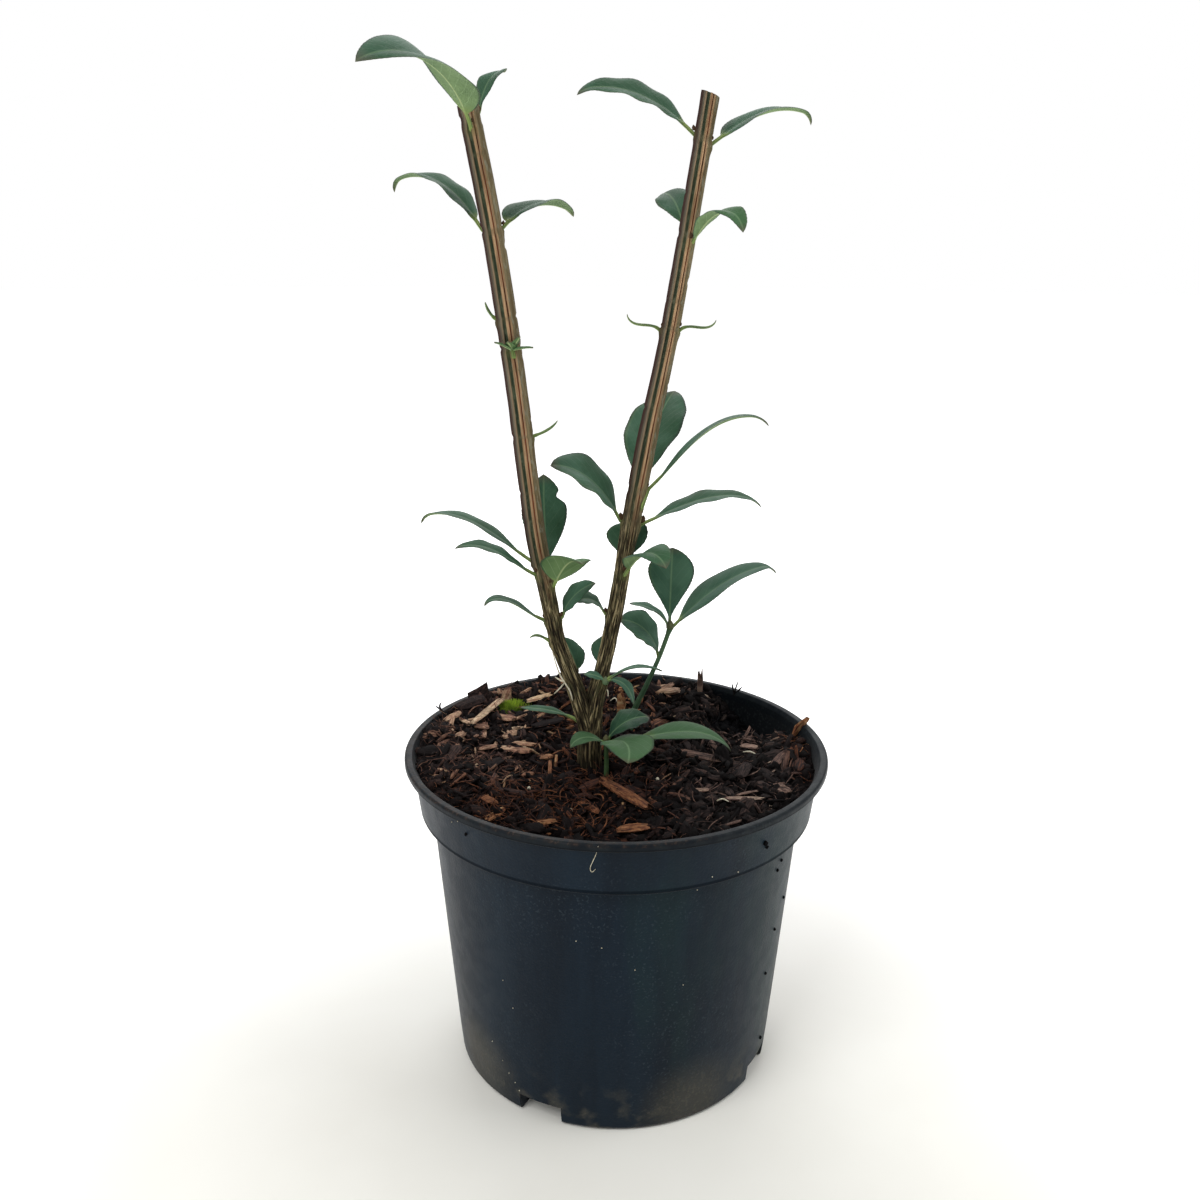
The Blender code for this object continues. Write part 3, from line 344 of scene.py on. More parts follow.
# Fibres that lie about, as points (x, y, height over the mix)
PALE_FIBRES = [
    [(28.3, -34.6, 1.6), (29.8, -35.5, 2.2), (31.4, -36.4, 1.5)],
    [(39.5, -0.6, 1.7), (41.6, -1.2, 2.3), (43.8, -1.4, 1.5)],
    [(-5.2, 45.5, 1.2), (-4.0, 47.0, 2.6), (-2.4, 46.0, 2.4), (-2.2, 43.6, 1.4)],
    [(-1.6, 41.0, 1.0), (0.2, 40.6, 2.4), (1.6, 38.6, 1.3)],
]
DARK_FIBRES = [
    [(-55.5, 22.0, 0.8), (-57.5, 23.5, 2.4), (-59.2, 25.0, 3.0)],
    [(-56.5, 24.5, 0.8), (-58.0, 25.5, 2.6), (-57.6, 26.5, 3.8)],
    [(41.4, 46.0, 0.0), (41.6, 46.0, 4.0), (42.0, 46.0, 6.6), (42.8, 46.0, 9.4)],
    [(41.7, 46.0, 4.6), (41.2, 46.0, 6.6), (40.8, 46.0, 8.4)],
    [(41.8, 46.0, 4.2), (43.0, 46.0, 6.0), (44.2, 46.0, 7.2)],
]
TAN_FIBRES = [[(-33.4, -23.5, 1.3), (-32.2, -20.0, 2.0), (-30.6, -16.5, 1.4)]]
WHITE_GRAINS = [(-25.5, -26.7), (-13.0, -40.4), (-18.4, -7.5), (12.0, -22.0), (34.0, 20.0)]
# On the pot's wall, as (azimuth, height)
WALL_SPECKS = [
    (224.8, 97.9), (222.1, 96.5), (232.6, 46.3), (258.3, 66.9), (265.7, 65.3), (292.6, 81.9), (294.7, 87.7),
    (302.8, 86.8), (290.4, 50.6), (275.3, 57.9), (235.8, 37.7), (229.0, 15.5), (231.5, 12.0), (234.0, 9.6),
    (235.6, 7.2), (224.5, 20.5),
]
WALL_CRUMBS = [
    (227.6, 94.9, 1.0), (311.3, 93.0, 1.5), (312.2, 91.4, 1.1), (328.6, 78.4, 1.0), (326.5, 76.0, 1.0),
    (337.5, 61.1, 1.0), (331.7, 53.0, 1.0), (329.0, 38.7, 1.0), (334.0, 12.0, 1.2),
]
COLLAR_HAIR = [(265.3, 101.9), (264.6, 98.0), (263.2, 93.8), (263.6, 92.4), (264.5, 93.4)]
ROOTLETS = [
    [(-19.2, -10.0, 136.0), (-18.1, -10.3, 132.1), (-16.9, -10.3, 128.6), (-15.5, -10.3, 126.1),
     (-14.0, -10.5, 123.6), (-13.2, -10.7, 120.7)],
    [(-15.6, -9.9, 126.0), (-17.1, -8.4, 123.6), (-18.8, -7.0, 121.4)],
    [(-18.5, -7.0, 126.7), (-17.0, -8.4, 126.3), (-15.5, -9.9, 126.1)],
]
# Where the mix is full of red fibre, as (x, y, reach)
RED_PATCHES = [(-43.0, -9.0, 10.0), (-30.0, -28.0, 11.0), (-16.0, -42.0, 11.0), (-6.0, -18.0, 8.0)]
STAIN_SPOTS = [(216.0, 9.0), (297.0, 6.0)]      # azimuth and height of the pot's soiled patches
STAIN_REACH = 0.02      # metres

# The stretch of the mix that bits are strewn on: its half-width, its cells, and the radii that bits keep to
GROUND_HALF = 63.0
GROUND_CELL = 1.5
STREW_LIMIT = (60.2, 1.9)       # and how much further it goes on the bank
WHOLE_LIMIT = (56.5, 2.0)       # for bits long enough to stick through the wall
RIM_START = 57.5
# Sorts of bits: name, shape, number per square centimetre, length low and high, skew towards short ones,
# tilt, lift, tone low and high, seed, and the share of the ground that they follow
STREWN_BITS = [
    ("peat_crumbs", "crumb", 27.0, 0.7, 5.2, 2.4, 1.2, 1.0, 0.0, 0.5, 3, "calm"),
    ("bark_flakes", "flake", 3.4, 3.0, 10.0, 1.6, 0.5, 1.6, 0.02, 0.62, 4, "inner"),
    ("bark_splinters", "splinter", 9.0, 1.6, 8.5, 1.8, 0.6, 1.8, 0.05, 0.76, 5, "inner"),
    ("light_flakes", "flake", 1.5, 2.2, 7.5, 1.5, 0.5, 2.2, 0.74, 0.96, 7, "pale"),
    ("light_splinters", "splinter", 2.4, 1.6, 6.0, 1.5, 0.5, 2.2, 0.76, 1.0, 6, "pale"),
    ("peat_fibres", "fibre", 9.0, 3.0, 9.0, 1.4, 0.5, 2.2, 0.3, 0.8, 8, "inner"),
    ("rim_fibres", "fibre", 40.0, 1.6, 4.4, 1.0, 0.5, 2.4, 0.3, 0.86, 12, "rim"),
    ("red_fibres", "fibre", 44.0, 2.5, 6.5, 1.0, 0.6, 2.6, 0.62, 0.74, 9, "redness"),
]


# Meshes
def mesh_of(name, points, faces, attributes=None, edges=()):
    """A mesh in metres from points in millimetres, with values stored on its points.

    A value is a list with one for each point, or one number for them all.
    """
    mesh = bpy.data.meshes.new(name)
    mesh.from_pydata([tuple(float(c) * MM for c in p) for p in points], edges, faces)
    for label, values in (attributes or {}).items():
        values = np.asarray(values, dtype=np.float32)
        values = values if values.ndim else np.full(len(points), values)
        kind, field = ("FLOAT_VECTOR", "vector") if values.ndim == 2 else ("FLOAT", "value")
        mesh.attributes.new(label, kind, "POINT").data.foreach_set(field, values.ravel())
    mesh.update()
    return mesh


def put(name, mesh, finish=None, sharp_over=40.0):
    """An object at the origin that shows a mesh."""
    made = bpy.data.objects.new(name, mesh)
    bpy.context.scene.collection.objects.link(made)
    if finish:
        mesh.materials.clear()
        mesh.materials.append(finish)
    mesh.shade_smooth()
    if sharp_over < 180.0:
        mesh.set_sharp_from_angle(angle=math.radians(sharp_over))
    return made


def joined(name, meshes):
    """Several meshes as one, with their stored values."""
    work = bmesh.new()
    for mesh in meshes:
        work.from_mesh(mesh)
    made = bpy.data.meshes.new(name)
    work.to_mesh(made)
    work.free()
    for mesh in meshes:
        bpy.data.meshes.remove(mesh)
    return made


def plain_mesh(made):
    """An object's evaluated mesh; the object itself is removed."""
    depsgraph = bpy.context.evaluated_depsgraph_get()
    depsgraph.update()
    mesh = bpy.data.meshes.new_from_object(made.evaluated_get(depsgraph))
    bpy.data.objects.remove(made)
    return mesh


def gathered(name, meshes):
    """A collection with an object for each mesh."""
    group = bpy.data.collections.new(name)
    bpy.context.scene.collection.children.link(group)
    for i, mesh in enumerate(meshes):
        group.objects.link(bpy.data.objects.new(f"{name}_{i}", mesh))
    return group


def cleared(group):
    """Take a collection and its objects away."""
    for made in list(group.objects):
        bpy.data.objects.remove(made)
    bpy.data.collections.remove(group)


def cut(mesh, cutters, operation="DIFFERENCE"):
    """The mesh with the cutters' meshes cut from it or joined to it."""
    made = put("worked", mesh)
    group = gathered("cutters", cutters)
    boolean = made.modifiers.new("cut", "BOOLEAN")
    boolean.operation = operation
    boolean.operand_type = "COLLECTION"
    boolean.collection = group
    boolean.solver = "EXACT"
    result = plain_mesh(made)
    cleared(group)
    return result


def ring(radius, height, sides, centre=(0.0, 0.0)):
    """Points of a level circle."""
    turns = [2 * math.pi * i / sides for i in range(sides)]
    return [(centre[0] + radius * math.cos(a), centre[1] + radius * math.sin(a), height) for a in turns]


def loft_faces(rings, sides):
    """Faces over rings of equal size, with both ends closed."""
    faces = [tuple(range(sides))[::-1]]
    for r in range(rings - 1):
        for s in range(sides):
            a, b = r * sides + s, r * sides + (s + 1) % sides
            faces.append((a, b, b + sides, a + sides))
    faces.append(tuple(range((rings - 1) * sides, rings * sides)))
    return faces


def axis_faces(rings, sides):
    """Faces over rings of equal size that start and end in a single point."""
    last = rings * sides + 1
    faces = []
    for i in range(sides):
        j = (i + 1) % sides
        faces.append((0, 1 + j, 1 + i))
        for r in range(rings - 1):
            a, b = 1 + r * sides + i, 1 + r * sides + j
            faces.append((a, b, b + sides, a + sides))
        faces.append((last - sides + i, last - sides + j, last))
    return faces


def box_mesh(low, high, turn):
    """A box between two corners, turned about the vertical axis through the origin."""
    corners = [(x, y, z) for z in (low[2], high[2]) for y in (low[1], high[1]) for x in (low[0], high[0])]
    c, s = math.cos(math.radians(turn)), math.sin(math.radians(turn))
    faces = [(0, 2, 3, 1), (4, 5, 7, 6), (0, 1, 5, 4), (2, 6, 7, 3), (0, 4, 6, 2), (1, 3, 7, 5)]
    return mesh_of("box", [(x * c - y * s, x * s + y * c, z) for x, y, z in corners], faces)


def rod_mesh(centre, radius, low, high, sides=32):
    """A vertical rod."""
    points = ring(radius, low, sides, centre) + ring(radius, high, sides, centre)
    return mesh_of("rod", points, loft_faces(2, sides))


def turned_mesh(name, profile, sides):
    """A closed turned shape: the profile runs from the axis at the bottom, up outside, to the axis."""
    points = [(0.0, 0.0, profile[0][1])]
    for radius, height in profile[1:-1]:
        points += ring(radius, height, sides)
    points.append((0.0, 0.0, profile[-1][1]))
    return mesh_of(name, points, axis_faces(len(profile) - 2, sides))


def read_off(table, height):
    """A value read between the rows of (height, value)."""
    return float(np.interp(height, [row[0] for row in table], [row[1] for row in table]))


def soft_step(low, high, at):
    """0 below low, 1 above high, smooth between."""
    t = max(0.0, min(1.0, (at - low) / (high - low)))
    return t * t * (3.0 - 2.0 * t)


# Node trees
class Wire:
    """What a node puts out. Plain arithmetic on it adds the nodes that work it out."""

    def __init__(self, tree, socket):
        self.tree, self.socket = tree, socket

    def __add__(self, other):
        return worked_out("ADD", self, other)

    def __sub__(self, other):
        return worked_out("SUBTRACT", self, other)

    def __rsub__(self, other):
        return worked_out("SUBTRACT", other, self)

    def __mul__(self, other):
        return worked_out("MULTIPLY", self, other)

    def __truediv__(self, other):
        return worked_out("DIVIDE", self, other)

    def __pow__(self, other):
        return worked_out("POWER", self, other)

    def __gt__(self, other):
        return worked_out("GREATER_THAN", self, other)

    def __abs__(self):
        return worked_out("ABSOLUTE", self)


def add(tree, kind, wires=None, **settings):
    """A node with its settings, and with plain or linked values on its inputs, by name or place."""
    made = tree.nodes.new(kind)
    for key, setting in settings.items():
        setattr(made, key, setting)
    for key, given in (wires or {}).items():
        if isinstance(given, Wire):
            tree.links.new(given.socket, made.inputs[key])
        else:
            made.inputs[key].default_value = given
    return made


def value(tree, kind, wires=None, output=0, **settings):
    """What a new node puts out."""
    return Wire(tree, add(tree, kind, wires, **settings).outputs[output])


def worked_out(operation, *numbers):
    """One step of arithmetic, in a shader or a geometry tree."""
    tree = next(number.tree for number in numbers if isinstance(number, Wire))
    return value(tree, "ShaderNodeMath", dict(enumerate(numbers)), operation=operation)


def vector_sum(a, b):
    """Two vectors added."""
    return value(a.tree, "ShaderNodeVectorMath", {0: a, 1: b}, operation="ADD")


def scaled(vector, factor):
    """A vector times a number."""
    return value(vector.tree, "ShaderNodeVectorMath", {0: vector, "Scale": factor}, operation="SCALE")


def apart(vector, spot):
    """Distance between a vector and a fixed spot."""
    return value(vector.tree, "ShaderNodeVectorMath", {0: vector, 1: spot}, "Value", operation="DISTANCE")


def parts_of(vector):
    """The three numbers of a vector."""
    split = add(vector.tree, "ShaderNodeSeparateXYZ", {0: vector})
    return [Wire(vector.tree, socket) for socket in split.outputs]


def vector_from(tree, *numbers):
    """A vector from three numbers."""
    return value(tree, "ShaderNodeCombineXYZ", dict(enumerate(numbers)))


def smooth_step(number, low, high):
    """0 at low, 1 at high, smooth between."""
    return value(number.tree, "ShaderNodeMapRange", {"Value": number, "From Min": low, "From Max": high},
                 interpolation_type="SMOOTHSTEP")


def new_group(name, kind, inputs, outputs):
    """A node group with named inputs, as (name, socket type, value), and outputs, as (name, socket type).

    It comes with what its inputs give, by name, and with the call that links its results.
    """
    tree = bpy.data.node_groups.new(name, kind)
    for label, socket, start in inputs:
        made = tree.interface.new_socket(label, in_out="INPUT", socket_type=socket)
        if start is not None:
            made.default_value = start
    for label, socket in outputs:
        tree.interface.new_socket(label, in_out="OUTPUT", socket_type=socket)
    source, end = tree.nodes.new("NodeGroupInput"), tree.nodes.new("NodeGroupOutput")

    def give(**results):
        for label, result in results.items():
            tree.links.new(result.socket, end.inputs[label])

    return tree, {label: Wire(tree, source.outputs[label]) for label, _, _ in inputs}, give


FLOAT, INTEGER, VECTOR = "NodeSocketFloat", "NodeSocketInt", "NodeSocketVector"
GEOMETRY, MATERIAL = "NodeSocketGeometry", "NodeSocketMaterial"


# Shared surface effects
def screen(red, green, blue):
    """A colour given as seen on a screen, 0 to 255."""
    return tuple(((v / 255.0 + 0.055) / 1.055) ** 2.4 if v > 10 else v / 3295.0
                 for v in (red, green, blue)) + (1.0,)


def mottle_group():
    """Soft patches: a mask from noise, with its contrast."""
    tree, given, give = new_group("mottle", "ShaderNodeTree", [
        ("Vector", VECTOR, None), ("Scale", FLOAT, 100.0), ("Detail", FLOAT, 4.0),
        ("Low", FLOAT, 0.4), ("High", FLOAT, 0.6)], [("Mask", FLOAT)])
    field = value(tree, "ShaderNodeTexNoise", {
        "Vector": given["Vector"], "Scale": given["Scale"], "Detail": given["Detail"]})
    give(Mask=smooth_step(field, given["Low"], given["High"]))
    return tree


def grain_group():
    """Streaks along a fibre: noise that is stretched along the third axis of its place."""
    tree, given, give = new_group("grain", "ShaderNodeTree", [
        ("Place", VECTOR, None), ("Fineness", FLOAT, 2.0), ("Stretch", FLOAT, 0.08),
        ("Low", FLOAT, 0.35), ("High", FLOAT, 0.65)], [("Mask", FLOAT), ("Height", FLOAT)])
    stretch = vector_from(tree, 1.0, 1.0, given["Stretch"])
    place = value(tree, "ShaderNodeVectorMath", {0: given["Place"], 1: stretch}, operation="MULTIPLY")
    field = value(tree, "ShaderNodeTexNoise", {
        "Vector": place, "Scale": given["Fineness"], "Detail": 5.0, "Roughness": 0.6})
    give(Mask=smooth_step(field, given["Low"], given["High"]), Height=field)
    return tree


MOTTLE, GRAIN = mottle_group(), grain_group()


class Finish:
    """A material's tree, with the few steps that every finish here takes.

    A colour is either linked or given as three numbers on a screen, 0 to 255.
    """

    def __init__(self, name):
        self.made = bpy.data.materials.new(name)
        self.made.use_nodes = True
        self.tree = self.made.node_tree
        self.shader = self.tree.nodes["Principled BSDF"]
        self.place = value(self.tree, "ShaderNodeTexCoord", output="Object")

    def mottle(self, scale, low=0.4, high=0.6, detail=4.0):
        """Soft patches."""
        return value(self.tree, "ShaderNodeGroup", {
            "Vector": self.place, "Scale": scale, "Low": low, "High": high, "Detail": detail}, "Mask",
            node_tree=MOTTLE)

    def grain(self, place, fineness, stretch, low=0.35, high=0.65, output="Mask"):
        """Streaks along a fibre."""
        return value(self.tree, "ShaderNodeGroup", {
            "Place": place, "Fineness": fineness, "Stretch": stretch, "Low": low, "High": high}, output,
            node_tree=GRAIN)

    def stored(self, label, output="Fac"):
        """A value stored on the piece's points."""
        return value(self.tree, "ShaderNodeAttribute", output=output, attribute_name=label)

    def step(self, number, low, high):
        """0 at low, 1 at high, smooth between."""
        return smooth_step(number, low, high)

    def band(self, number, low, high, soft):
        """1 between low and high, fading over a soft stretch inside both."""
        return self.step(number, low, low + soft) * self.step(number, high, high - soft)

    def distance(self, spot):
        """Distance from a spot, in metres."""
        return apart(self.place, spot)

    def from_upright(self, x, y):
        """Distance from an upright line, in metres."""
        flat = value(self.tree, "ShaderNodeVectorMath", {0: self.place, 1: (1.0, 1.0, 0.0)},
                     operation="MULTIPLY")
        return apart(flat, (x, y, 0.0))

    def blend(self, mask, a, b):
        """Colour a where the mask is 0 and b where it is 1."""
        a, b = (c if isinstance(c, Wire) else screen(*c) for c in (a, b))
        return value(self.tree, "ShaderNodeMix", {0: mask, 6: a, 7: b}, 2, data_type="RGBA")

    def over(self, colour, top, mask, strength=1.0):
        """A colour with another laid over it where the mask is 1."""
        return self.blend(mask if strength == 1.0 else mask * strength, colour, top)

    def ramp(self, number, stops):
        """A colour read off (place, colour) stops."""
        node = add(self.tree, "ShaderNodeValToRGB", {0: number})
        band = node.color_ramp
        while len(band.elements) < len(stops):
            band.elements.new(0.5)
        for element, (place, colour) in zip(band.elements, stops):
            element.position = place
            element.color = screen(*colour)
        return Wire(self.tree, node.outputs[0])

    def bump(self, height, strength, distance):
        """Fine relief from a height; distance is in metres."""
        self.set(Normal=value(self.tree, "ShaderNodeBump", {
            "Height": height, "Strength": strength, "Distance": distance}))

    def set(self, **sockets):
        """Values or links on the shader, with spaces as underscores."""
        for label, given in sockets.items():
            socket = self.shader.inputs[label.replace("_", " ")]
            if isinstance(given, Wire):
                self.tree.links.new(given.socket, socket)
            else:
                socket.default_value = given
        return self.made


# Finishes, where places and reaches are in metres
def pot_finish():
    """Blue-black moulded plastic: faint upright bands, dust, soil at foot and lip, and a darker inside."""
    f = Finish("pot_plastic")
    x, y, z = parts_of(f.place)
    speckle = f.mottle(1100.0, 0.52, 0.64, 3.0)
    colour = f.blend(f.grain(f.place, 70.0, 0.12, 0.3, 0.7), (7, 20, 32), (14, 30, 43))
    colour = f.over(colour, (20, 44, 44), f.grain(f.place, 26.0, 0.2, 0.5, 0.68), 0.5)
    soil = f.step(z, 0.02, 0.002) * f.mottle(120.0, 0.5, 0.66)
    for turn, height in STAIN_SPOTS:
        a = math.radians(turn)
        spot = [c * MM for c in (BASE_RADIUS * math.cos(a), BASE_RADIUS * math.sin(a), height)]
        soil = worked_out("MAXIMUM", soil, f.step(f.distance(spot), STAIN_REACH, 0.003))
    stain = soil * (speckle * 0.14 + 0.3)
    colour = f.over(colour, (104, 98, 82), stain)
    # painted shade on the lip, darker than the collar under it
    colour = f.over(colour, (8, 15, 21), f.step(z, 0.0992, 0.1), 0.9)
    colour = f.over(colour, (70, 76, 74), f.step(z, 0.0995, 0.1015) * f.mottle(300.0, 0.35, 0.75), 0.14)
    soiled = f.step(z, 0.1008, 0.1018) * f.mottle(420.0, 0.42, 0.56) * f.step(x + y * 0.5, 0.01, -0.03)
    colour = f.over(colour, f.blend(speckle, (34, 26, 22), (74, 56, 44)), soiled, 0.45)
    dust = f.mottle(1300.0, 0.56, 0.72, 2.0) * f.mottle(25.0, 0.4, 0.7)
    colour = f.over(colour, (96, 110, 118), dust, 0.12)
    outer = z * COLLAR_SLOPE + COLLAR_AXIS_RADIUS * MM
    inside = f.step(outer - f.from_upright(0.0, 0.0), 0.0004, 0.0009) * f.step(z, 0.083, 0.087)
    inside = inside * f.step(z, 0.1016, 0.1)
    colour = f.over(colour, f.blend(speckle, (6, 10, 14), (22, 26, 28)), inside)
    # painted shade: dark, matte bands on the rounded edges of the collar's step and under the lip
    edges = f.band(z, 0.0838, 0.0864, 0.0006) + f.band(z, 0.0984, 0.1006, 0.0006)
    colour = f.over(colour, (4, 10, 16), edges, 0.6)
    rough = (stain + f.mottle(200.0)) * 0.06 + 0.46 + (inside + edges) * 0.45
    f.bump(f.mottle(1500.0, 0.2, 0.8) + f.mottle(90.0, 0.2, 0.8) * 0.6, 0.1, 0.0004)
    return f.set(Base_Color=colour, Roughness=worked_out("MINIMUM", rough, 1.0), Specular_IOR_Level=0.12,
                 Sheen_Weight=0.1, Sheen_Roughness=0.35)


WOOD_TONES = [
    (0.0, (14, 11, 11)), (0.35, (29, 23, 23)), (0.52, (62, 43, 38)), (0.68, (94, 56, 40)),
    (0.82, (136, 90, 60)), (0.92, (162, 126, 90)), (1.0, (188, 160, 122)),
]
# black of the painted shade in the mix's hollows
SHADE_BLACK = (7, 7, 10)


def hollow_shade(f):
    """How black the painted shade makes a place of the mix: its hollows, and the deep one at the back
    right.
    """
    z = parts_of(f.place)[2]
    away = f.from_upright(*(c * MM for c in HOLLOW_PLACE))
    pit = f.step(away, 0.0155, 0.011) * f.step(z, 0.1035, 0.1015)
    return worked_out("MAXIMUM", f.step(z, 0.0968, 0.0935), pit * 0.96)


def toned_and_painted_light_by_place(f, colour):
    """Wood colours duller towards the right of the mix, with painted light on its left and painted shade in
    front.
    """
    x, y, _ = parts_of(f.place)
    right = f.step(x, 0.004, 0.03) * f.step(x, 0.056, 0.05)
    left = f.step(x, -0.012, -0.036) * f.step(y, -0.034, -0.012)
    dull = worked_out("MAXIMUM", right * 1.8, left) * 0.22
    # painted light on the left of the mix, painted shade over its front half
    light = left * 0.34 - f.step(y, -0.012, -0.034) * 0.12
    return value(f.tree, "ShaderNodeHueSaturation", {
        "Saturation": 1.0 - dull, "Value": light + 1.0, "Color": colour})


def peat_finish():
    """The mix's own surface: black-brown, with redder patches of fibre."""
    f = Finish("potting_mix")
    colour = f.ramp(f.mottle(330.0, 0.3, 0.75, 8.0) * 0.46, WOOD_TONES)
    colour = f.over(colour, (70, 38, 30), f.mottle(35.0, 0.55, 0.72), 0.22)
    # painted shade, black, in the hollows of the mix
    colour = f.over(toned_and_painted_light_by_place(f, colour), SHADE_BLACK, hollow_shade(f))
    f.bump(f.mottle(900.0, 0.2, 0.8, 8.0), 0.9, 0.0006)
    return f.set(Base_Color=colour, Roughness=0.95, Specular_IOR_Level=0.05)


def chip_finish():
    """Bark and wood bits: each has its own tone, with fibres along it."""
    f = Finish("bark_bits")
    place = f.stored("grain_place", "Vector")
    tone = f.stored("tone") + f.grain(place, 4.5, 0.1, 0.3, 0.7) * 0.22 - 0.12
    colour = f.ramp(tone - f.grain(place, 2.2, 0.06, 0.52, 0.6) * 0.2, WOOD_TONES)
    colour = f.over(colour, (26, 20, 20), f.mottle(500.0, 0.45, 0.65), 0.45)
    # painted shade in the hollows of the mix, on the bits there too
    colour = f.over(toned_and_painted_light_by_place(f, colour), SHADE_BLACK, hollow_shade(f), 0.93)
    f.bump(f.grain(place, 6.0, 0.1, output="Height"), 0.7, 0.0004)
    return f.set(Base_Color=colour, Roughness=0.86, Specular_IOR_Level=0.08)


def bark_finish():
    """Winged bark: corky faces, pinkish wing edges with a cleft, green grooves, fissures low down."""
    f = Finish("stem_bark")
    place = f.stored("grain_place", "Vector")
    fine = f.grain(place, 2.8, 0.03, 0.4, 0.58)
    hairs = f.grain(place, 2.5, 0.08, 0.45, 0.58)
    blotch = f.grain(place, 0.9, 0.4, 0.52, 0.62)
    face = f.blend(f.grain(place, 0.8, 0.06, 0.4, 0.6), (100, 90, 64), (136, 124, 94))
    face = f.over(face, (82, 66, 48), fine, 0.5)
    face = f.over(face, (138, 138, 120), blotch, 0.5)
    # painted shade on the face beside a wing in each grooved quarter, darkest at the wing's edge
    shaded = f.ramp(f.stored("shade"), [
        (0.0, (124, 116, 98)), (0.3, (104, 98, 84)), (0.45, (80, 70, 60)), (0.62, (66, 48, 44)),
        (1.0, (54, 34, 36))])
    shaded = f.over(shaded, (70, 56, 48), fine, 0.35)
    groove = f.over(f.blend(fine, (36, 46, 36), (60, 70, 52)), (98, 104, 80), blotch, 0.4)
    fissured = f.ramp(f.stored("crest") * 0.4 + hairs * 0.6, [
        (0.0, (26, 21, 15)), (0.25, (46, 40, 28)), (0.5, (78, 70, 50)), (0.78, (116, 104, 76)),
        (1.0, (176, 160, 122))])
    fissured = f.over(fissured, (70, 72, 50), blotch, 0.45)
    colour = face
    for label, top, strength in [
            ("side", shaded, 1.0),
            ("groove", groove, 1.0),
            ("wing_edge", f.blend(fine, (138, 106, 78), (184, 150, 114)), 1.0),
            # painted shade on the wings that are seen edge-on at the left and the right
            ("side_edge", (66, 46, 40), 0.6),
            ("cleft", f.blend(fine, (70, 30, 22), (128, 62, 42)), 1.0),
            ("rough", fissured, 1.0),
            ("cushion", (96, 100, 62), 0.6),
            # darker at the foot, and painted shade in the crotch of the fork
            ("foot", (24, 18, 15), 0.75),
            ("cut", f.blend(f.mottle(900.0), (168, 142, 108), (128, 104, 78)), 1.0),
            ("scale", f.blend(fine, (48, 34, 26), (78, 60, 42)), 1.0)]:
        colour = f.over(colour, top, f.stored(label), strength)
    f.bump(f.grain(place, 2.8, 0.05, output="Height") + hairs * 0.35, 0.8, 0.0005)
    return f.set(Base_Color=colour, Roughness=0.85, Specular_IOR_Level=0.08)


def leaf_finish(name, dark, light, new_green):
    """A leaf: dark top with a pale midrib and faint veins, sage underside, yellow-green stalk."""
    f = Finish(name)
    along, across, side = parts_of(f.stored("blade_place", "Vector"))
    away = abs(across)
    young, under = f.stored("young"), f.stored("underside")
    clouds, pores = f.mottle(110.0, 0.35, 0.68), f.mottle(1400.0, 0.35, 0.7)
    midrib = f.step(away, 0.42, 0.1)
    row = worked_out("FRACT", (along - away * VEIN_LEAN) / VEIN_PITCH)
    vein = f.step(abs(row - 0.5), 0.08, 0.0)
    top = f.over(f.blend(clouds, dark, light), (70, 104, 92), pores, 0.12)
    top = f.over(top, new_green, young)
    top = f.over(top, (120, 150, 118), vein, 0.08)
    top = f.over(top, (126, 154, 114), midrib, 0.34)
    below = f.over(f.blend(clouds, (96, 120, 82), (118, 142, 98)), (74, 108, 58), f.step(young, 0.3, 0.6))
    below = f.over(below, (150, 176, 132), vein, 0.3)
    below = f.over(below, (168, 184, 132), midrib, 0.8)
    colour = f.over(top, below, under)
    colour = f.over(colour, f.blend(clouds, (100, 120, 64), (136, 154, 90)), f.stored("stalk"))
    colour = f.over(colour, (52, 60, 54), f.step(abs(side), 0.88, 0.97), 0.7)
    colour = f.over(colour, (86, 72, 64), f.stored("tip"), 0.7)
    colour = f.over(colour, f.blend(pores, (70, 52, 36), (104, 82, 54)), f.stored("scale"))
    f.bump(f.mottle(2200.0, 0.2, 0.8) * 0.35 - vein * 0.35 + clouds * 0.8, 0.35, 0.00035)
    return f.set(Base_Color=colour, Roughness=under * 0.2 + 0.52, Specular_IOR_Level=0.09)


def moss_finish():
    """Bright yellow-green moss, darker at its foot."""
    f = Finish("moss_green")
    high = f.step(parts_of(f.place)[2], (MOSS_SEAT_HEIGHT + 0.2) * MM, (MOSS_SEAT_HEIGHT + 3.4) * MM)
    colour = f.over(f.blend(high, (46, 66, 24), (168, 194, 66)), (84, 112, 38), f.mottle(500.0), 0.5)
    return f.set(Base_Color=colour, Roughness=0.85, Specular_IOR_Level=0.1)


def hair_finish():
    """A pale dry fibre."""
    f = Finish("dry_fibre")
    return f.set(Base_Color=f.blend(f.mottle(900.0), (178, 170, 146), (208, 202, 180)), Roughness=0.7)


def floor_finish():
    """A plain pale surface that turns white far away."""
    f = Finish("pale_floor")
    far = f.step(f.distance((0.0, -0.12, 0.0)), 0.06, 0.42)
    near = f.blend(f.mottle(9.0, 0.3, 0.7), (235, 233, 225), (243, 242, 235))
    return f.set(Base_Color=f.over(near, (255, 255, 255), far), Roughness=0.75,
                 Emission_Color=(1.0, 1.0, 1.0, 1.0), Emission_Strength=far * 0.5, Specular_IOR_Level=0.1)


# Pot
def arc(centre, radius, start, end, steps):
    """Points of a round on a profile, from one angle to another."""
    return [(centre[0] + radius * math.cos(math.radians(start + (end - start) * i / steps)),
             centre[1] + radius * math.sin(math.radians(start + (end - start) * i / steps)))
            for i in range(steps + 1)]


def channel_turn(i):
    """Azimuth of a drainage channel."""
    return 270.0 - CHANNEL_TURN - 360.0 * i / CHANNEL_COUNT


def channel_mesh(i, side_room, top, inner_end, outer_end, low):
    """A box along a drainage channel."""
    half = CHANNEL_WIDTH / 2 + side_room
    return box_mesh((inner_end, -half, low), (outer_end, half, top), channel_turn(i))


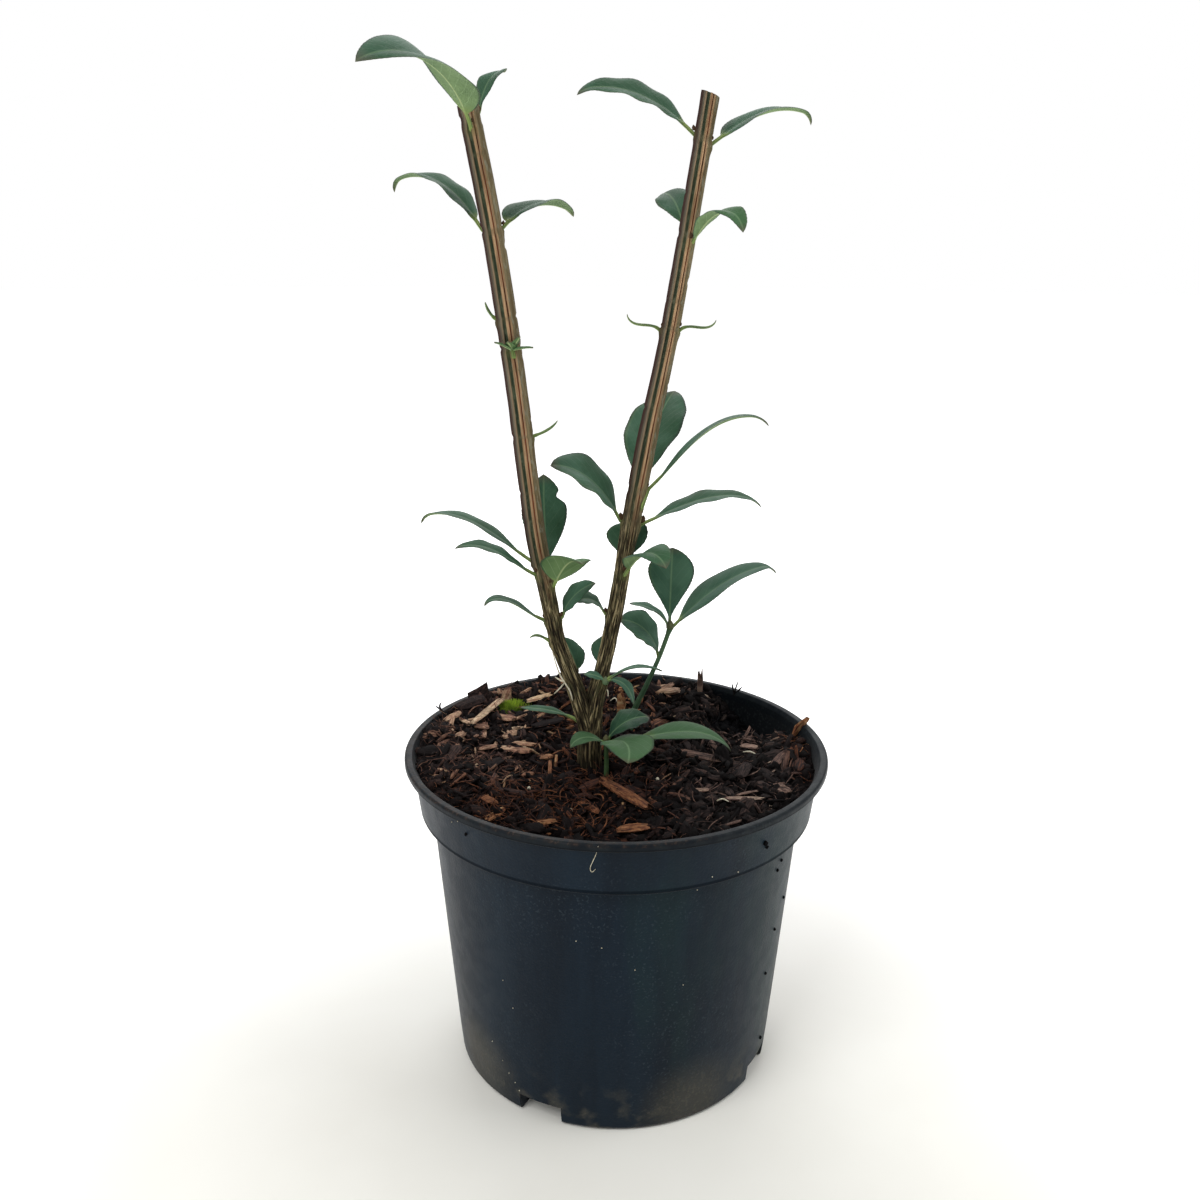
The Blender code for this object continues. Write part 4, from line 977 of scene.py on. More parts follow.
def build_pot(finish):
    """The moulded pot: lip, collar, tapering body, floor with raised channels, notched foot."""
    body = [(BASE_RADIUS + (BODY_TOP_RADIUS - BASE_RADIUS) * t, COLLAR_FOOT_HEIGHT * t)
            for t in (0.1, 0.25, 0.5, 0.75, 0.98)]
    outside = (
        arc((BASE_RADIUS - BASE_ROUND, BASE_ROUND), BASE_ROUND, -90, 0, 6) + body
        + arc((BODY_TOP_RADIUS + FILLET, COLLAR_FOOT_HEIGHT - FILLET), FILLET, 180, 90, 4)
        + arc((COLLAR_FOOT_RADIUS - COLLAR_ROUND, COLLAR_FOOT_HEIGHT + COLLAR_ROUND), COLLAR_ROUND,
              -90, 0, 6)
        + [(COLLAR_TOP_RADIUS - 0.25, LIP_LOW - 2 * FILLET)]
        + arc((COLLAR_TOP_RADIUS + FILLET, LIP_LOW - FILLET), FILLET, 180, 90, 4)
        + arc((LIP_RADIUS - LIP_ROUND, LIP_LOW + LIP_ROUND), LIP_ROUND, -80, 0, 5)
        + arc((LIP_RADIUS - LIP_ROUND, POT_HEIGHT - LIP_ROUND), LIP_ROUND, 0, 90, 5)
        + arc((LIP_RADIUS - LIP_WIDTH, POT_HEIGHT - 0.5), 0.5, 90, 170, 4)
    )
    inside = [
        (COLLAR_TOP_RADIUS - WALL, LIP_LOW),
        (COLLAR_FOOT_RADIUS - WALL, COLLAR_FOOT_HEIGHT + WALL + COLLAR_ROUND),
        (BODY_TOP_RADIUS - WALL, COLLAR_FOOT_HEIGHT + WALL),
        (BASE_RADIUS + (BODY_TOP_RADIUS - BASE_RADIUS) * FLOOR / COLLAR_FOOT_HEIGHT - WALL, FLOOR),
    ]
    shell = turned_mesh("moulded_pot", [(0, 0)] + outside + inside + [(0, FLOOR)], POT_SIDES)
    covers = [channel_mesh(i, CHANNEL_SKIN, CHANNEL_HEIGHT + CHANNEL_SKIN, CHANNEL_INNER_END - CHANNEL_SKIN,
                           CHANNEL_OUTER_END, FLOOR / 2) for i in range(CHANNEL_COUNT)]
    shell = cut(shell, covers, "UNION")
    voids = [channel_mesh(i, 0.0, CHANNEL_HEIGHT, CHANNEL_INNER_END, BASE_RADIUS + 10.0, -FLOOR)
             for i in range(CHANNEL_COUNT)]
    for i in range(CHANNEL_COUNT):
        a = math.radians(channel_turn(i))
        place = (DRAIN_HOLE_PLACE * math.cos(a), DRAIN_HOLE_PLACE * math.sin(a))
        voids.append(rod_mesh(place, DRAIN_HOLE_RADIUS, CHANNEL_HEIGHT / 2,
                              CHANNEL_HEIGHT + 3 * CHANNEL_SKIN))
    return put("moulded_pot", cut(shell, voids), finish, 30.0)


# Potting mix
def mix_height(x, y):
    """Height of the mix: lumps, a bank at the back left, a deep hollow and a flat seat for the moss."""
    lumps = noise.fractal(Vector((x * 0.06, y * 0.06, 3.0)), 0.8, 2.2, 4)
    height = MIX_HEIGHT + MIX_RELIEF * max(-1.0, min(1.0, lumps))
    out = max(0.0, min(1.0, (math.hypot(x, y) - BANK_START) / (BANK_END - BANK_START)))
    facing = 0.5 + 0.5 * math.cos(math.atan2(y, x) - math.radians(BANK_TURN))
    height = min(MIX_HIGHEST, height + BANK_HEIGHT * out * out * (3.0 - 2.0 * out) * facing)
    away = math.hypot(x - HOLLOW_PLACE[0], y - HOLLOW_PLACE[1]) / HOLLOW_RADIUS
    height = max(MIX_LOWEST, height - HOLLOW_DEPTH * math.exp(-away ** 4))
    near = math.hypot(x - MOSS_PLACE[0], y - MOSS_PLACE[1])
    blend = max(0.0, min(1.0, (near - MOSS_RADIUS) / MOSS_BLEND))
    return MOSS_SEAT_HEIGHT + (height - MOSS_SEAT_HEIGHT) * blend


def mix_radius(height):
    """The mix's radius in the collar."""
    share = (height - COLLAR_FOOT_HEIGHT) / (LIP_LOW - COLLAR_FOOT_HEIGHT)
    return COLLAR_FOOT_RADIUS + (COLLAR_TOP_RADIUS - COLLAR_FOOT_RADIUS) * share - WALL - GAP


def crumbly_height(x, y):
    """The mix's surface with its fine relief."""
    fine = noise.fractal(Vector((x * 0.35, y * 0.35, 7.0)), 0.7, 2.1, 4)
    cells = noise.cell(Vector((x * 0.45, y * 0.45, 1.0)))
    return mix_height(x, y) + MIX_CRUMBLE * max(-1.2, min(1.0, fine)) + 0.35 * cells - 0.3


def stem_feet():
    """Where stems stand in the mix, as (x, y, clear radius)."""
    return [(*RIGHT_STEM[0][:2], RIGHT_GIRTH[0][1] + 0.6), (*SIDE_SHOOT[0][:2], SHOOT_HALF + 0.5),
            (*LOW_SHOOT[0][:2], SHOOT_HALF + 0.5)]


def build_mix(finish):
    """The mix as one closed body: its crumbly top, its sides, and its underside over the channels."""
    step_height = COLLAR_FOOT_HEIGHT + WALL
    floor_radius = BASE_RADIUS - WALL - GAP
    rows = [(mix_radius(step_height + 1.6), step_height + 1.6),
            (BODY_TOP_RADIUS - WALL - GAP - 0.25, step_height), (floor_radius, FLOOR + GAP)]
    points = [(0.0, 0.0, crumbly_height(0.0, 0.0))]
    for r in range(1, MIX_RINGS + 1):
        for s in range(MIX_SPOKES):
            a = 2 * math.pi * s / MIX_SPOKES
            radius = mix_radius(MIX_HEIGHT) * (r / MIX_RINGS) ** 0.9
            x, y = radius * math.cos(a), radius * math.sin(a)
            height = crumbly_height(x, y)
            if r == MIX_RINGS:
                x, y = (mix_radius(height) * c for c in (math.cos(a), math.sin(a)))
            points.append((x, y, height))
    for radius, height in rows:
        points += ring(radius, height, MIX_SPOKES)
    points.append((0.0, 0.0, FLOOR + GAP))
    faces = [face[:1] + face[:0:-1] for face in axis_faces(MIX_RINGS + len(rows), MIX_SPOKES)]
    room = CHANNEL_SKIN + GAP
    rooms = [channel_mesh(i, room, CHANNEL_HEIGHT + room, CHANNEL_INNER_END - room, BASE_RADIUS + 10, 0.0)
             for i in range(CHANNEL_COUNT)]
    return put("peat_bed", cut(mesh_of("peat_bed", points, faces), rooms), finish, 60.0)


def scatter_ground():
    """The stretch of the mix's top that bits are strewn on, with the share of them that each place gets."""
    cells = int(2 * GROUND_HALF / GROUND_CELL)
    points, shares = [], {"room": [], "inner": [], "rim": [], "redness": [], "calm": [], "pale": []}
    for j in range(cells + 1):
        for i in range(cells + 1):
            x, y = GROUND_CELL * i - GROUND_HALF, GROUND_CELL * j - GROUND_HALF
            out = math.hypot(x, y)
            bank = 0.5 + 0.5 * math.cos(math.atan2(y, x) - math.radians(BANK_TURN))
            limit = STREW_LIMIT[0] + STREW_LIMIT[1] * bank * bank
            inner = min(1.0, limit / max(1.0, out))
            points.append((x, y, crumbly_height(x * inner, y * inner) - 0.2))
            clear = all(math.hypot(x - fx, y - fy) > radius + 1.0 for fx, fy, radius in stem_feet())
            moss = math.hypot(x - MOSS_PLACE[0], y - MOSS_PLACE[1]) > MOSS_RADIUS
            shares["room"].append(float(out < limit and clear and moss))
            red = max(math.exp(-((x - px) ** 2 + (y - py) ** 2) / reach ** 2)
                      for px, py, reach in RED_PATCHES)
            red = max(red, soft_step(0.2, 0.6, noise.noise(Vector((x * 0.04, y * 0.04, 9.0)))))
            whole = float(out < WHOLE_LIMIT[0] + WHOLE_LIMIT[1] * bank * bank)
            shares["inner"].append(whole)
            shares["rim"].append(float(out > RIM_START) * (0.35 + 0.65 * soft_step(0.0, -40.0, x)))
            shares["redness"].append(red * whole * (1.0 - 0.8 * soft_step(8.0, 28.0, x)))
            shares["calm"].append(1.0 - 0.6 * red)
            shares["pale"].append(whole * (0.16 + 0.84 * soft_step(-4.0, 26.0, 0.65 * y - 0.75 * x)))
    faces = [(j * (cells + 1) + i, j * (cells + 1) + i + 1, (j + 1) * (cells + 1) + i + 1,
              (j + 1) * (cells + 1) + i) for j in range(cells) for i in range(cells)]
    return mesh_of("scatter_ground", points, faces, shares)


def bit_shape(name, rings, sides, profile, bend, seed):
    """One small bit of wood or peat, one unit long: rings along it, with uneven outline."""
    draw = random.Random(seed)
    points, places = [], []
    for r in range(rings):
        t = r / (rings - 1)
        wide, thick = profile(t)
        swing = bend * math.sin(math.pi * t)
        for s in range(sides):
            a = 2 * math.pi * s / sides
            jag = 1.0 + draw.uniform(-0.25, 0.25)
            end = draw.uniform(-0.08, 0.08) if r in (0, rings - 1) else 0.0
            point = (t - 0.5 + end, swing + wide * math.cos(a) * jag,
                     thick * math.sin(a) * jag + 0.3 * swing)
            points.append([c / MM for c in point])
            places.append((point[1] * 6.0 + seed, point[2] * 6.0, point[0] * 6.0))
    return mesh_of(name, points, loft_faces(rings, sides), {"grain_place": places})


def strew_tree():
    """Bits strewn on a surface: each lies flat with a small tilt, at its own size, heading and tone."""
    tree, given, give = new_group("strew", "GeometryNodeTree", [
        ("Ground", GEOMETRY, None), ("Bits", "NodeSocketCollection", None),
        ("Number per square cm", FLOAT, 10.0), ("Where", "NodeSocketString", "room"),
        ("Length low", FLOAT, 1.0), ("Length high", FLOAT, 3.0), ("Skew", FLOAT, 1.0), ("Tilt", FLOAT, 0.3),
        ("Lift", FLOAT, 0.0), ("Tone low", FLOAT, 0.0), ("Tone high", FLOAT, 1.0), ("Kinds", INTEGER, 3),
        ("Seed", INTEGER, 1), ("Finish", MATERIAL, None)], [("Geometry", GEOMETRY)])

    def draw(low, high, seed, kind="FLOAT"):
        """A random number for each bit."""
        first, output = {"FLOAT": (2, 1), "INT": (4, 2)}[kind]
        return value(tree, "FunctionNodeRandomValue", {
            first: low, first + 1: high, "Seed": given["Seed"] + seed}, output, data_type=kind)

    def share(label):
        """A share stored on the ground."""
        return value(tree, "GeometryNodeInputNamedAttribute", {"Name": label}, data_type="FLOAT")

    dense = given["Number per square cm"] * 10000.0 * (share(given["Where"]) * share("room"))
    spots = add(tree, "GeometryNodeDistributePointsOnFaces", {
        "Mesh": given["Ground"], "Density": dense, "Seed": given["Seed"]},
        distribute_method="RANDOM").outputs
    shapes = value(tree, "GeometryNodeCollectionInfo", {
        "Collection": given["Bits"], "Separate Children": True, "Reset Children": True})
    tilt, lean = given["Tilt"], given["Tilt"] * -1.0
    spin = vector_from(tree, draw(lean, tilt, 11), draw(lean, tilt, 12), draw(0.0, 2 * math.pi, 13))
    turn = value(tree, "FunctionNodeRotateRotation", {0: Wire(tree, spots["Rotation"]), 1: spin},
                 rotation_space="LOCAL")
    span = given["Length high"] - given["Length low"]
    size = (span * draw(0.0, 1.0, 14) ** given["Skew"] + given["Length low"]) * MM
    bits = value(tree, "GeometryNodeInstanceOnPoints", {
        "Points": Wire(tree, spots["Points"]), "Instance": shapes, "Pick Instance": True,
        "Instance Index": draw(0, given["Kinds"], 15, "INT"), "Rotation": turn,
        "Scale": vector_from(tree, size, size, size)})
    lift = given["Lift"] * draw(0.0, 1.0, 16) * MM
    bits = value(tree, "GeometryNodeTranslateInstances", {
        "Instances": bits, "Local Space": False, "Translation": vector_from(tree, 0.0, 0.0, lift)})
    bits = value(tree, "GeometryNodeStoreNamedAttribute", {
        "Geometry": bits, "Name": "tone", "Value": draw(given["Tone low"], given["Tone high"], 17)},
        data_type="FLOAT", domain="INSTANCE")
    bits = value(tree, "GeometryNodeRealizeInstances", {"Geometry": bits})
    give(Geometry=value(tree, "GeometryNodeSetMaterial", {"Geometry": bits, "Material": given["Finish"]}))
    return tree


def run_tree(tree, mesh, values):
    """The plain mesh that a node tree makes from another, with the tree's inputs set by name."""
    source = bpy.data.objects.new("source", mesh)
    bpy.context.scene.collection.objects.link(source)
    modifier = source.modifiers.new(tree.name, "NODES")
    modifier.node_group = tree
    for item in tree.interface.items_tree:
        if item.item_type == "SOCKET" and item.in_out == "INPUT" and item.name in values:
            modifier[item.identifier] = values[item.name]
    return plain_mesh(source)


def strewn(name, tree, ground, bits, finish, values):
    """One sort of bits on the mix, as a piece."""
    group = gathered(name + "_bits", bits)
    settings = {"Bits": group, "Finish": finish, "Kinds": len(bits) - 1}
    mesh = run_tree(tree, ground.copy(), {**settings, **values})
    cleared(group)
    return put(name, mesh, None, 180.0)


def crumb_profile(t):
    """Half-width and half-thickness of a crumb, one unit long."""
    swell = math.sin(math.pi * (0.15 + 0.7 * t))
    return 0.36 * swell, 0.26 * swell


def build_bits(finish):
    """Crumbs, flakes, splinters and fibres all over the mix."""
    tree, ground = strew_tree(), scatter_ground()
    shapes = {
        "crumb": [bit_shape("crumb", 4, 6, crumb_profile, 0.05, seed) for seed in range(1, 6)],
        "flake": [bit_shape("flake", 6, 8, lambda t: (0.24 - 0.12 * abs(2 * t - 1) ** 3, 0.05), 0.05, seed)
                  for seed in range(31, 37)],
        "splinter": [bit_shape("splinter", 5, 6, lambda t: (0.13 - 0.06 * abs(2 * t - 1) ** 3, 0.06), 0.04,
                               seed) for seed in range(11, 17)],
        "fibre": [bit_shape("fibre", 7, 4, lambda t: (0.026, 0.02), 0.16, seed) for seed in range(21, 26)],
    }
    labels = ("Number per square cm", "Length low", "Length high", "Skew", "Tilt", "Lift", "Tone low",
              "Tone high", "Seed", "Where")
    return [strewn(name, tree, ground, shapes[shape], finish, dict(zip(labels, values)))
            for name, shape, *values in STREWN_BITS]


def strand_mesh(points, radius, tone=0.0, sides=6, pieces=8):
    """A thin round fibre through points, pointed at both ends."""
    p = np.array(points, float)
    p = np.vstack([2 * p[0] - p[1], p, 2 * p[-1] - p[-2]])
    line = []
    for i in range(1, len(p) - 2):
        for k in range(pieces):
            t = k / pieces
            line.append(0.5 * (2 * p[i] + (p[i + 1] - p[i - 1]) * t
                               + (2 * p[i - 1] - 5 * p[i] + 4 * p[i + 1] - p[i + 2]) * t ** 2
                               + (3 * p[i] - p[i - 1] - 3 * p[i + 1] + p[i + 2]) * t ** 3))
    line = np.array(line + [p[-2]])
    ahead = np.gradient(line, axis=0)
    ahead /= np.linalg.norm(ahead, axis=1)[:, None]
    made, places = [], []
    for i, (centre, way) in enumerate(zip(line, ahead)):
        across = np.cross(way, [0.21, 0.35, 0.91])
        across /= np.linalg.norm(across)
        back = np.cross(way, across)
        wide = radius * (0.25 + 0.75 * math.sin(math.pi * (i + 0.4) / (len(line) - 0.2)) ** 0.4)
        for k in range(sides):
            a = -2 * math.pi * k / sides
            made.append(centre + wide * (across * math.cos(a) + back * math.sin(a)))
            places.append((math.cos(a), math.sin(a), i * 0.6))
    return mesh_of("strand", made, loft_faces(len(line), sides), {"grain_place": places, "tone": tone})


def on_wall(turn, height, out=0.0):
    """A point on the pot's outside."""
    if height < COLLAR_FOOT_HEIGHT:
        radius = BASE_RADIUS + (BODY_TOP_RADIUS - BASE_RADIUS) * height / COLLAR_FOOT_HEIGHT
    else:
        share = (height - COLLAR_FOOT_HEIGHT) / (LIP_LOW - COLLAR_FOOT_HEIGHT)
        radius = COLLAR_FOOT_RADIUS + (COLLAR_TOP_RADIUS - COLLAR_FOOT_RADIUS) * min(1.0, share)
        radius += soft_step(98.6, 99.8, height) * (LIP_RADIUS - COLLAR_TOP_RADIUS)
    a = math.radians(turn)
    return np.array([(radius + out) * math.cos(a), (radius + out) * math.sin(a), height])


def grain_mesh(place, size, seed, tone=0.0):
    """A small uneven grain."""
    draw = random.Random(seed)
    rings = [(-0.5, 0.3), (-0.25, 0.85), (0.15, 0.95), (0.5, 0.35)]
    points = [(place[0] + size * wide * 0.5 * draw.uniform(0.75, 1.2) * math.cos(k * math.pi / 3),
               place[1] + size * wide * 0.5 * draw.uniform(0.75, 1.2) * math.sin(k * math.pi / 3),
               place[2] + size * up) for up, wide in rings for k in range(6)]
    return mesh_of("grain", points, loft_faces(4, 6), {"grain_place": points, "tone": tone})


def build_small_things(dark, pale):
    """Single fibres and grains on the mix and on the pot's wall."""

    def lying(rows, radius, tone=0.0):
        """Fibres that lie on the mix."""
        return [strand_mesh([(x, y, mix_height(x, y) + up) for x, y, up in row], radius, tone)
                for row in rows]

    light = lying(PALE_FIBRES, 0.22)
    light += [grain_mesh((x, y, mix_height(x, y) + 1.6), 1.1, i) for i, (x, y) in enumerate(WHITE_GRAINS)]
    light += [grain_mesh(on_wall(turn, height, 0.05), 0.34, i + 20)
              for i, (turn, height) in enumerate(WALL_SPECKS)]
    light.append(strand_mesh([on_wall(turn, height, 0.25) for turn, height in COLLAR_HAIR], 0.1))
    light += [strand_mesh(row, 0.24) for row in ROOTLETS]
    heavy = lying(DARK_FIBRES, 0.3, 0.3) + lying(TAN_FIBRES, 0.25, 0.96)
    heavy += [grain_mesh(on_wall(turn, height, 0.15), size, i + 40, 0.15)
              for i, (turn, height, size) in enumerate(WALL_CRUMBS)]
    return [put("pale_fibres", joined("pale_fibres", light), pale, 50.0),
            put("dark_fibres", joined("dark_fibres", heavy), dark, 50.0)]


def chip_mesh(seed, x_place, y_place, heading, length, width, tilt, tone, rings=12, sides=10):
    """A placed chip: a splintered bar, half sunk in the mix."""
    draw = random.Random(seed)
    thick = CHIP_THICK * width
    fray = [draw.uniform(-0.09, 0.09) for _ in range(2 * sides)]
    lumps = [draw.uniform(-0.12, 0.12) for _ in range(sides)]
    a, t = math.radians(heading), math.radians(tilt)
    low = (mix_height(x_place, y_place) + CHIP_LIFT + 0.03 * length + 0.3 * thick
           + abs(math.sin(t)) * length * 0.3)
    points, places = [], []
    for r in range(rings):
        u = r / (rings - 1) - 0.5
        for s in range(sides):
            b = 2 * math.pi * (s + 0.5) / sides
            squared = (abs(math.cos(b)) ** 4 + abs(math.sin(b)) ** 4) ** -0.25
            taper = 1.0 - 0.35 * abs(2 * u) ** 3
            x = u * length
            if r in (0, rings - 1):
                x += fray[s + sides * (r > 0)] * length
            rough = 1.0 + lumps[s] + 0.12 * noise.noise(Vector((u * 7, s * 2.1, seed * 3.3)))
            y = 0.5 * width * math.cos(b) * squared * taper * rough
            z = 0.55 * thick * math.sin(b) * squared * taper * rough
            places.append((y + seed * 7.0, z, x))
            x, z = x * math.cos(t) - z * math.sin(t), x * math.sin(t) + z * math.cos(t)
            points.append((x_place + x * math.cos(a) - y * math.sin(a),
                           y_place + x * math.sin(a) + y * math.cos(a), low + z))
    return mesh_of("chip", points, loft_faces(rings, sides), {"grain_place": places, "tone": tone})


def flake_mesh(outline, tone):
    """A thin flake that stands on edge, from its outline in space."""
    points = [Vector(p) for p in outline]
    middle = sum(points, Vector()) / len(points)
    facing = (points[0] - middle).cross(points[2] - middle).normalized()
    long_way = (points[2] - points[0]).normalized()
    count, made = len(points), []
    for side, inset in ((-0.5, 0.12), (-0.25, 0.0), (0.25, 0.0), (0.5, 0.12)):
        made += [p + (middle - p) * inset + facing * side * FLAKE_THICK for p in points]
    work = bmesh.new()
    work.from_mesh(mesh_of("flake", made, loft_faces(4, count), {
        "grain_place": [((p - middle).cross(long_way).length, 0.0, p.dot(long_way)) for p in made],
        "tone": tone}))
    bmesh.ops.recalc_face_normals(work, faces=work.faces)
    mesh = bpy.data.meshes.new("flake")
    work.to_mesh(mesh)
    work.free()
    return mesh


def build_chips(finish):
    """The chips that show by themselves, lying and standing."""
    meshes = [flake_mesh(outline, tone) for tone, outline in STANDING_FLAKES]
    meshes += [chip_mesh(i + 1, *row) for i, row in enumerate(PLACED_CHIPS)]
    return put("bark_chips", joined("bark_chips", meshes), finish, 35.0)


# Stems
# What the bark finish reads at each point
STEM_MARKS = ("groove", "shade", "side", "wing_edge", "side_edge", "cleft", "crest", "rough", "cushion",
              "foot", "cut", "scale", "grain_place")


def on_path(path, height):
    """A point on the smooth curve through a centre line's points, at a height."""
    p = np.array(path, float)
    i = int(np.clip(np.searchsorted(p[:, 2], height) - 1, 0, len(p) - 2))
    a, b = p[i], p[i + 1]
    before, after = p[max(i - 1, 0)], p[min(i + 2, len(p) - 1)]
    t = (height - a[2]) / (b[2] - a[2])
    lean_a = (b - before) / (b[2] - before[2]) * (b[2] - a[2])
    lean_b = (after - a) / (after[2] - a[2]) * (b[2] - a[2])
    return ((2 * t**3 - 3 * t**2 + 1) * a + (t**3 - 2 * t**2 + t) * lean_a
            + (3 * t**2 - 2 * t**3) * b + (t**3 - t**2) * lean_b)


def path_frame(path, height):
    """Centre and the two directions across a stem at a height."""
    low, high = path[0][2], path[-1][2]
    tangent = on_path(path, min(height + 1, high)) - on_path(path, max(height - 1, low))
    tangent /= np.linalg.norm(tangent)
    across = np.cross([0.0, 1.0, 0.0], tangent)
    across /= np.linalg.norm(across)
    return on_path(path, height), across, np.cross(tangent, across)


def stem_parts(stem):
    """A stem's centre line, girth, nodes and the heights where its bark changes."""
    if stem == "left":
        return LEFT_STEM, LEFT_GIRTH, LEFT_NODES, ROUGH_LEFT
    return RIGHT_STEM, RIGHT_GIRTH, RIGHT_NODES, ROUGH_RIGHT


def at_node(nodes, height):
    """Whether the wings are broken off at a height."""
    return any(abs(height - middle) < half for middle, half in nodes)


def core_radius(stem, height):
    """Radius that a leaf's foot sits against."""
    _, girth, nodes, _ = stem_parts(stem)
    return read_off(girth, height) * (CORE_SHARE if at_node(nodes, height) else 1.0)


def wing_reach(nodes, wing, height, seed):
    """How far a wing stands at a height, 0 where it is broken off: ragged ends and small nicks."""
    reach = 1.0
    for number, (middle, half) in enumerate(nodes):
        uneven = 0.7 * noise.noise(Vector((number * 3.1 + seed, wing * 5.7, 0.5)))
        half_here = NOTCH_SHARE * half * (1.0 + 0.5 * noise.noise(Vector((number * 1.7, wing, seed))))
        open_here = soft_step(-0.3, 0.3, abs(height - middle - uneven) - half_here)
        reach = min(reach, NOTCH_FLOOR + (1.0 - NOTCH_FLOOR) * open_here)
    nick = noise.noise(Vector((wing * 9.0 + seed, 4.0, height * 0.35)))
    reach *= 1.0 - 0.5 * soft_step(0.42, 0.6, nick)
    return reach * (0.95 + 0.1 * noise.noise(Vector((wing * 4.0 + seed, 2.0, height * 0.2))))


def leaf_seats(stem):
    """Where leaves sit on a stem, as (height, side)."""
    extra = (STAR_HEIGHT, STAR_SIDE) if stem == "left" else (FORK_SHOOT_HEIGHT, FORK_SHOOT_SIDE)
    return [(plan.height, plan.side) for plan in STEM_LEAVES
            if plan.stem == stem and plan.height > FORK_HEIGHT] + [extra]


def wing_marks(quarter, u, reach):
    """What the bark finish reads at a share of the way from one wing to the next."""
    grooved = quarter % 2 == 0
    if grooved:
        edge = max(soft_step(0.83, 0.87, u), 0.4 * soft_step(0.06, 0.02, abs(u - 0.52)))
    else:
        edge = max(soft_step(0.02, 0.01, u), 0.85 * soft_step(0.09, 0.11, u) * soft_step(0.24, 0.19, u))
    wing = (quarter + (u > 0.5)) % 4
    return {
        "groove": grooved * soft_step(0.55, 0.6, u) * soft_step(0.84, 0.8, u) * (0.3 + 0.7 * reach),
        # shade is painted shade across the face beside a wing, deepest at the wing; side is where it lies
        "shade": max(0.0, 1.0 - u / 0.56),
        "side": float(grooved and u < 0.58),
        "wing_edge": edge * reach,
        # painted shade on the two wings that face left and right
        "side_edge": (1 - wing % 2) * soft_step(0.22, 0.06, min(u, 1.0 - u)) * reach,
        "cleft": (not grooved) * soft_step(0.045, 0.032, abs(u - 0.055)) * reach,
    }


def cushion_lift(seats, height, turn):
    """How much the stem swells under its leaves, 0 to 1."""
    lift = 0.0
    for leaf_height, side in seats:
        aside = abs((turn - side + 180.0) % 360.0 - 180.0) / CUSHION_SPREAD
        lift = max(lift, math.exp(-((height - leaf_height + 0.9) / 1.3) ** 2 - aside ** 2))
    return lift


def stem_mesh(stem, seed):
    """One stem: four corky wings on a round core, fissured bark lower down, a cushion under each leaf."""
    path, girth, nodes, rough_span = stem_parts(stem)
    low, high = path[0][2], path[-1][2]
    start = low if stem == "left" else MIX_LOWEST - 2.0
    count = int((high - start) / STEM_STEP)
    points = []
    marks = {label: [] for label in STEM_MARKS}
    for r in range(count + 1):
        height = start + (high - start) * r / count
        centre, across, back = path_frame(path, height)
        radius = read_off(girth, height)
        rough = 1.0 - soft_step(*rough_span, height + 6.0 * noise.noise(Vector((0.0, seed, height * 0.1))))
        reaches = [wing_reach(nodes, wing, height, seed) for wing in range(4)]
        flare = 1.0 + FOOT_FLARE * (1.0 - soft_step(*FLARE_SPAN, height)) * (stem == "right")
        seats = [row for row in leaf_seats(stem) if abs(row[0] - height) < 4.0]
        slant = TOP_SLANT[stem] * soft_step(high - 4.0, high, height)
        for quarter in range(4):
            for u in QUARTER:
                a = math.radians(WING_TURN + 90.0 * (quarter + u))
                blend = soft_step(0.3, 0.7, u)
                reach = reaches[quarter] * (1.0 - blend) + reaches[(quarter + 1) % 4] * blend
                rise = read_off(GROOVE_REACH if quarter % 2 == 0 else FACE_REACH, u) - CORE_SHARE
                place = Vector((math.cos(a) * radius, math.sin(a) * radius + seed * 9.0, height * 0.09))
                streak = noise.noise(place * 1.6)
                crest = max(0.0, min(1.0, 1.05 - 2.6 * abs(noise.noise(place)) + 0.5 * streak))
                winged = radius * (CORE_SHARE + rise * reach) + 0.07 * streak
                fissured = radius * (0.88 + 0.3 * rise * reach) + 0.26 * (crest - 0.5)
                lift = cushion_lift(seats, height, math.degrees(a))
                out = (winged * (1.0 - rough) + fissured * rough) * flare + CUSHION_HEIGHT * lift
                point = centre + out * (across * math.cos(a) + back * math.sin(a))
                point[2] += slant * (point[0] - centre[0])
                points.append(point)
                # painted shade in the crotch between the stems, laid on with the darker foot
                crotch_shade = math.cos(a) * math.exp(-((height - FORK_HEIGHT) / CROTCH_SHADE_REACH) ** 2)
                crotch_shade = -crotch_shade if stem == "right" else crotch_shade
                foot = max(1.0 - soft_step(*DARK_SPAN, height), min(1.0, 0.8 * crotch_shade))
                here = {**wing_marks(quarter, u, reach), "crest": crest, "rough": rough, "cushion": lift,
                        "foot": foot, "cut": 0.0, "scale": 0.0,
                        "grain_place": (math.cos(a) * radius + seed * 11.0, math.sin(a) * radius, height)}
                for label, mark in here.items():
                    marks[label].append(mark)
    return stem_cap(points, loft_faces(count + 1, STEM_SIDES), marks, count, stem)


def scale_buds():
    """Small dark buds with scales, one over each leaf's foot."""
    meshes = []
    for i, plan in enumerate(STEM_LEAVES):
        if plan.length < 9 or plan.height < FORK_HEIGHT:
            continue
        grown = GROWN_BUDS[0] < plan.height < GROWN_BUDS[1]
        side = plan.side + (0.0 if grown else (-1) ** i * 14.0)
        place = seat(plan.stem, plan.height + 1.3, side, 0.7 if grown else 0.25)
        a = math.radians(side)
        size = 0.85 if grown else 0.42 + 0.14 * (i % 3) / 2
        bud = bud_mesh(place, size, (0.5 * math.cos(a), 0.5 * math.sin(a)))
        for label in STEM_MARKS:
            if label == "grain_place":
                bud.attributes.new(label, "FLOAT_VECTOR", "POINT")
            else:
                made = bud.attributes.get(label) or bud.attributes.new(label, "FLOAT", "POINT")
                made.data.foreach_set("value", [float(label == "scale")] * len(bud.vertices))
        meshes.append(bud)
    return meshes


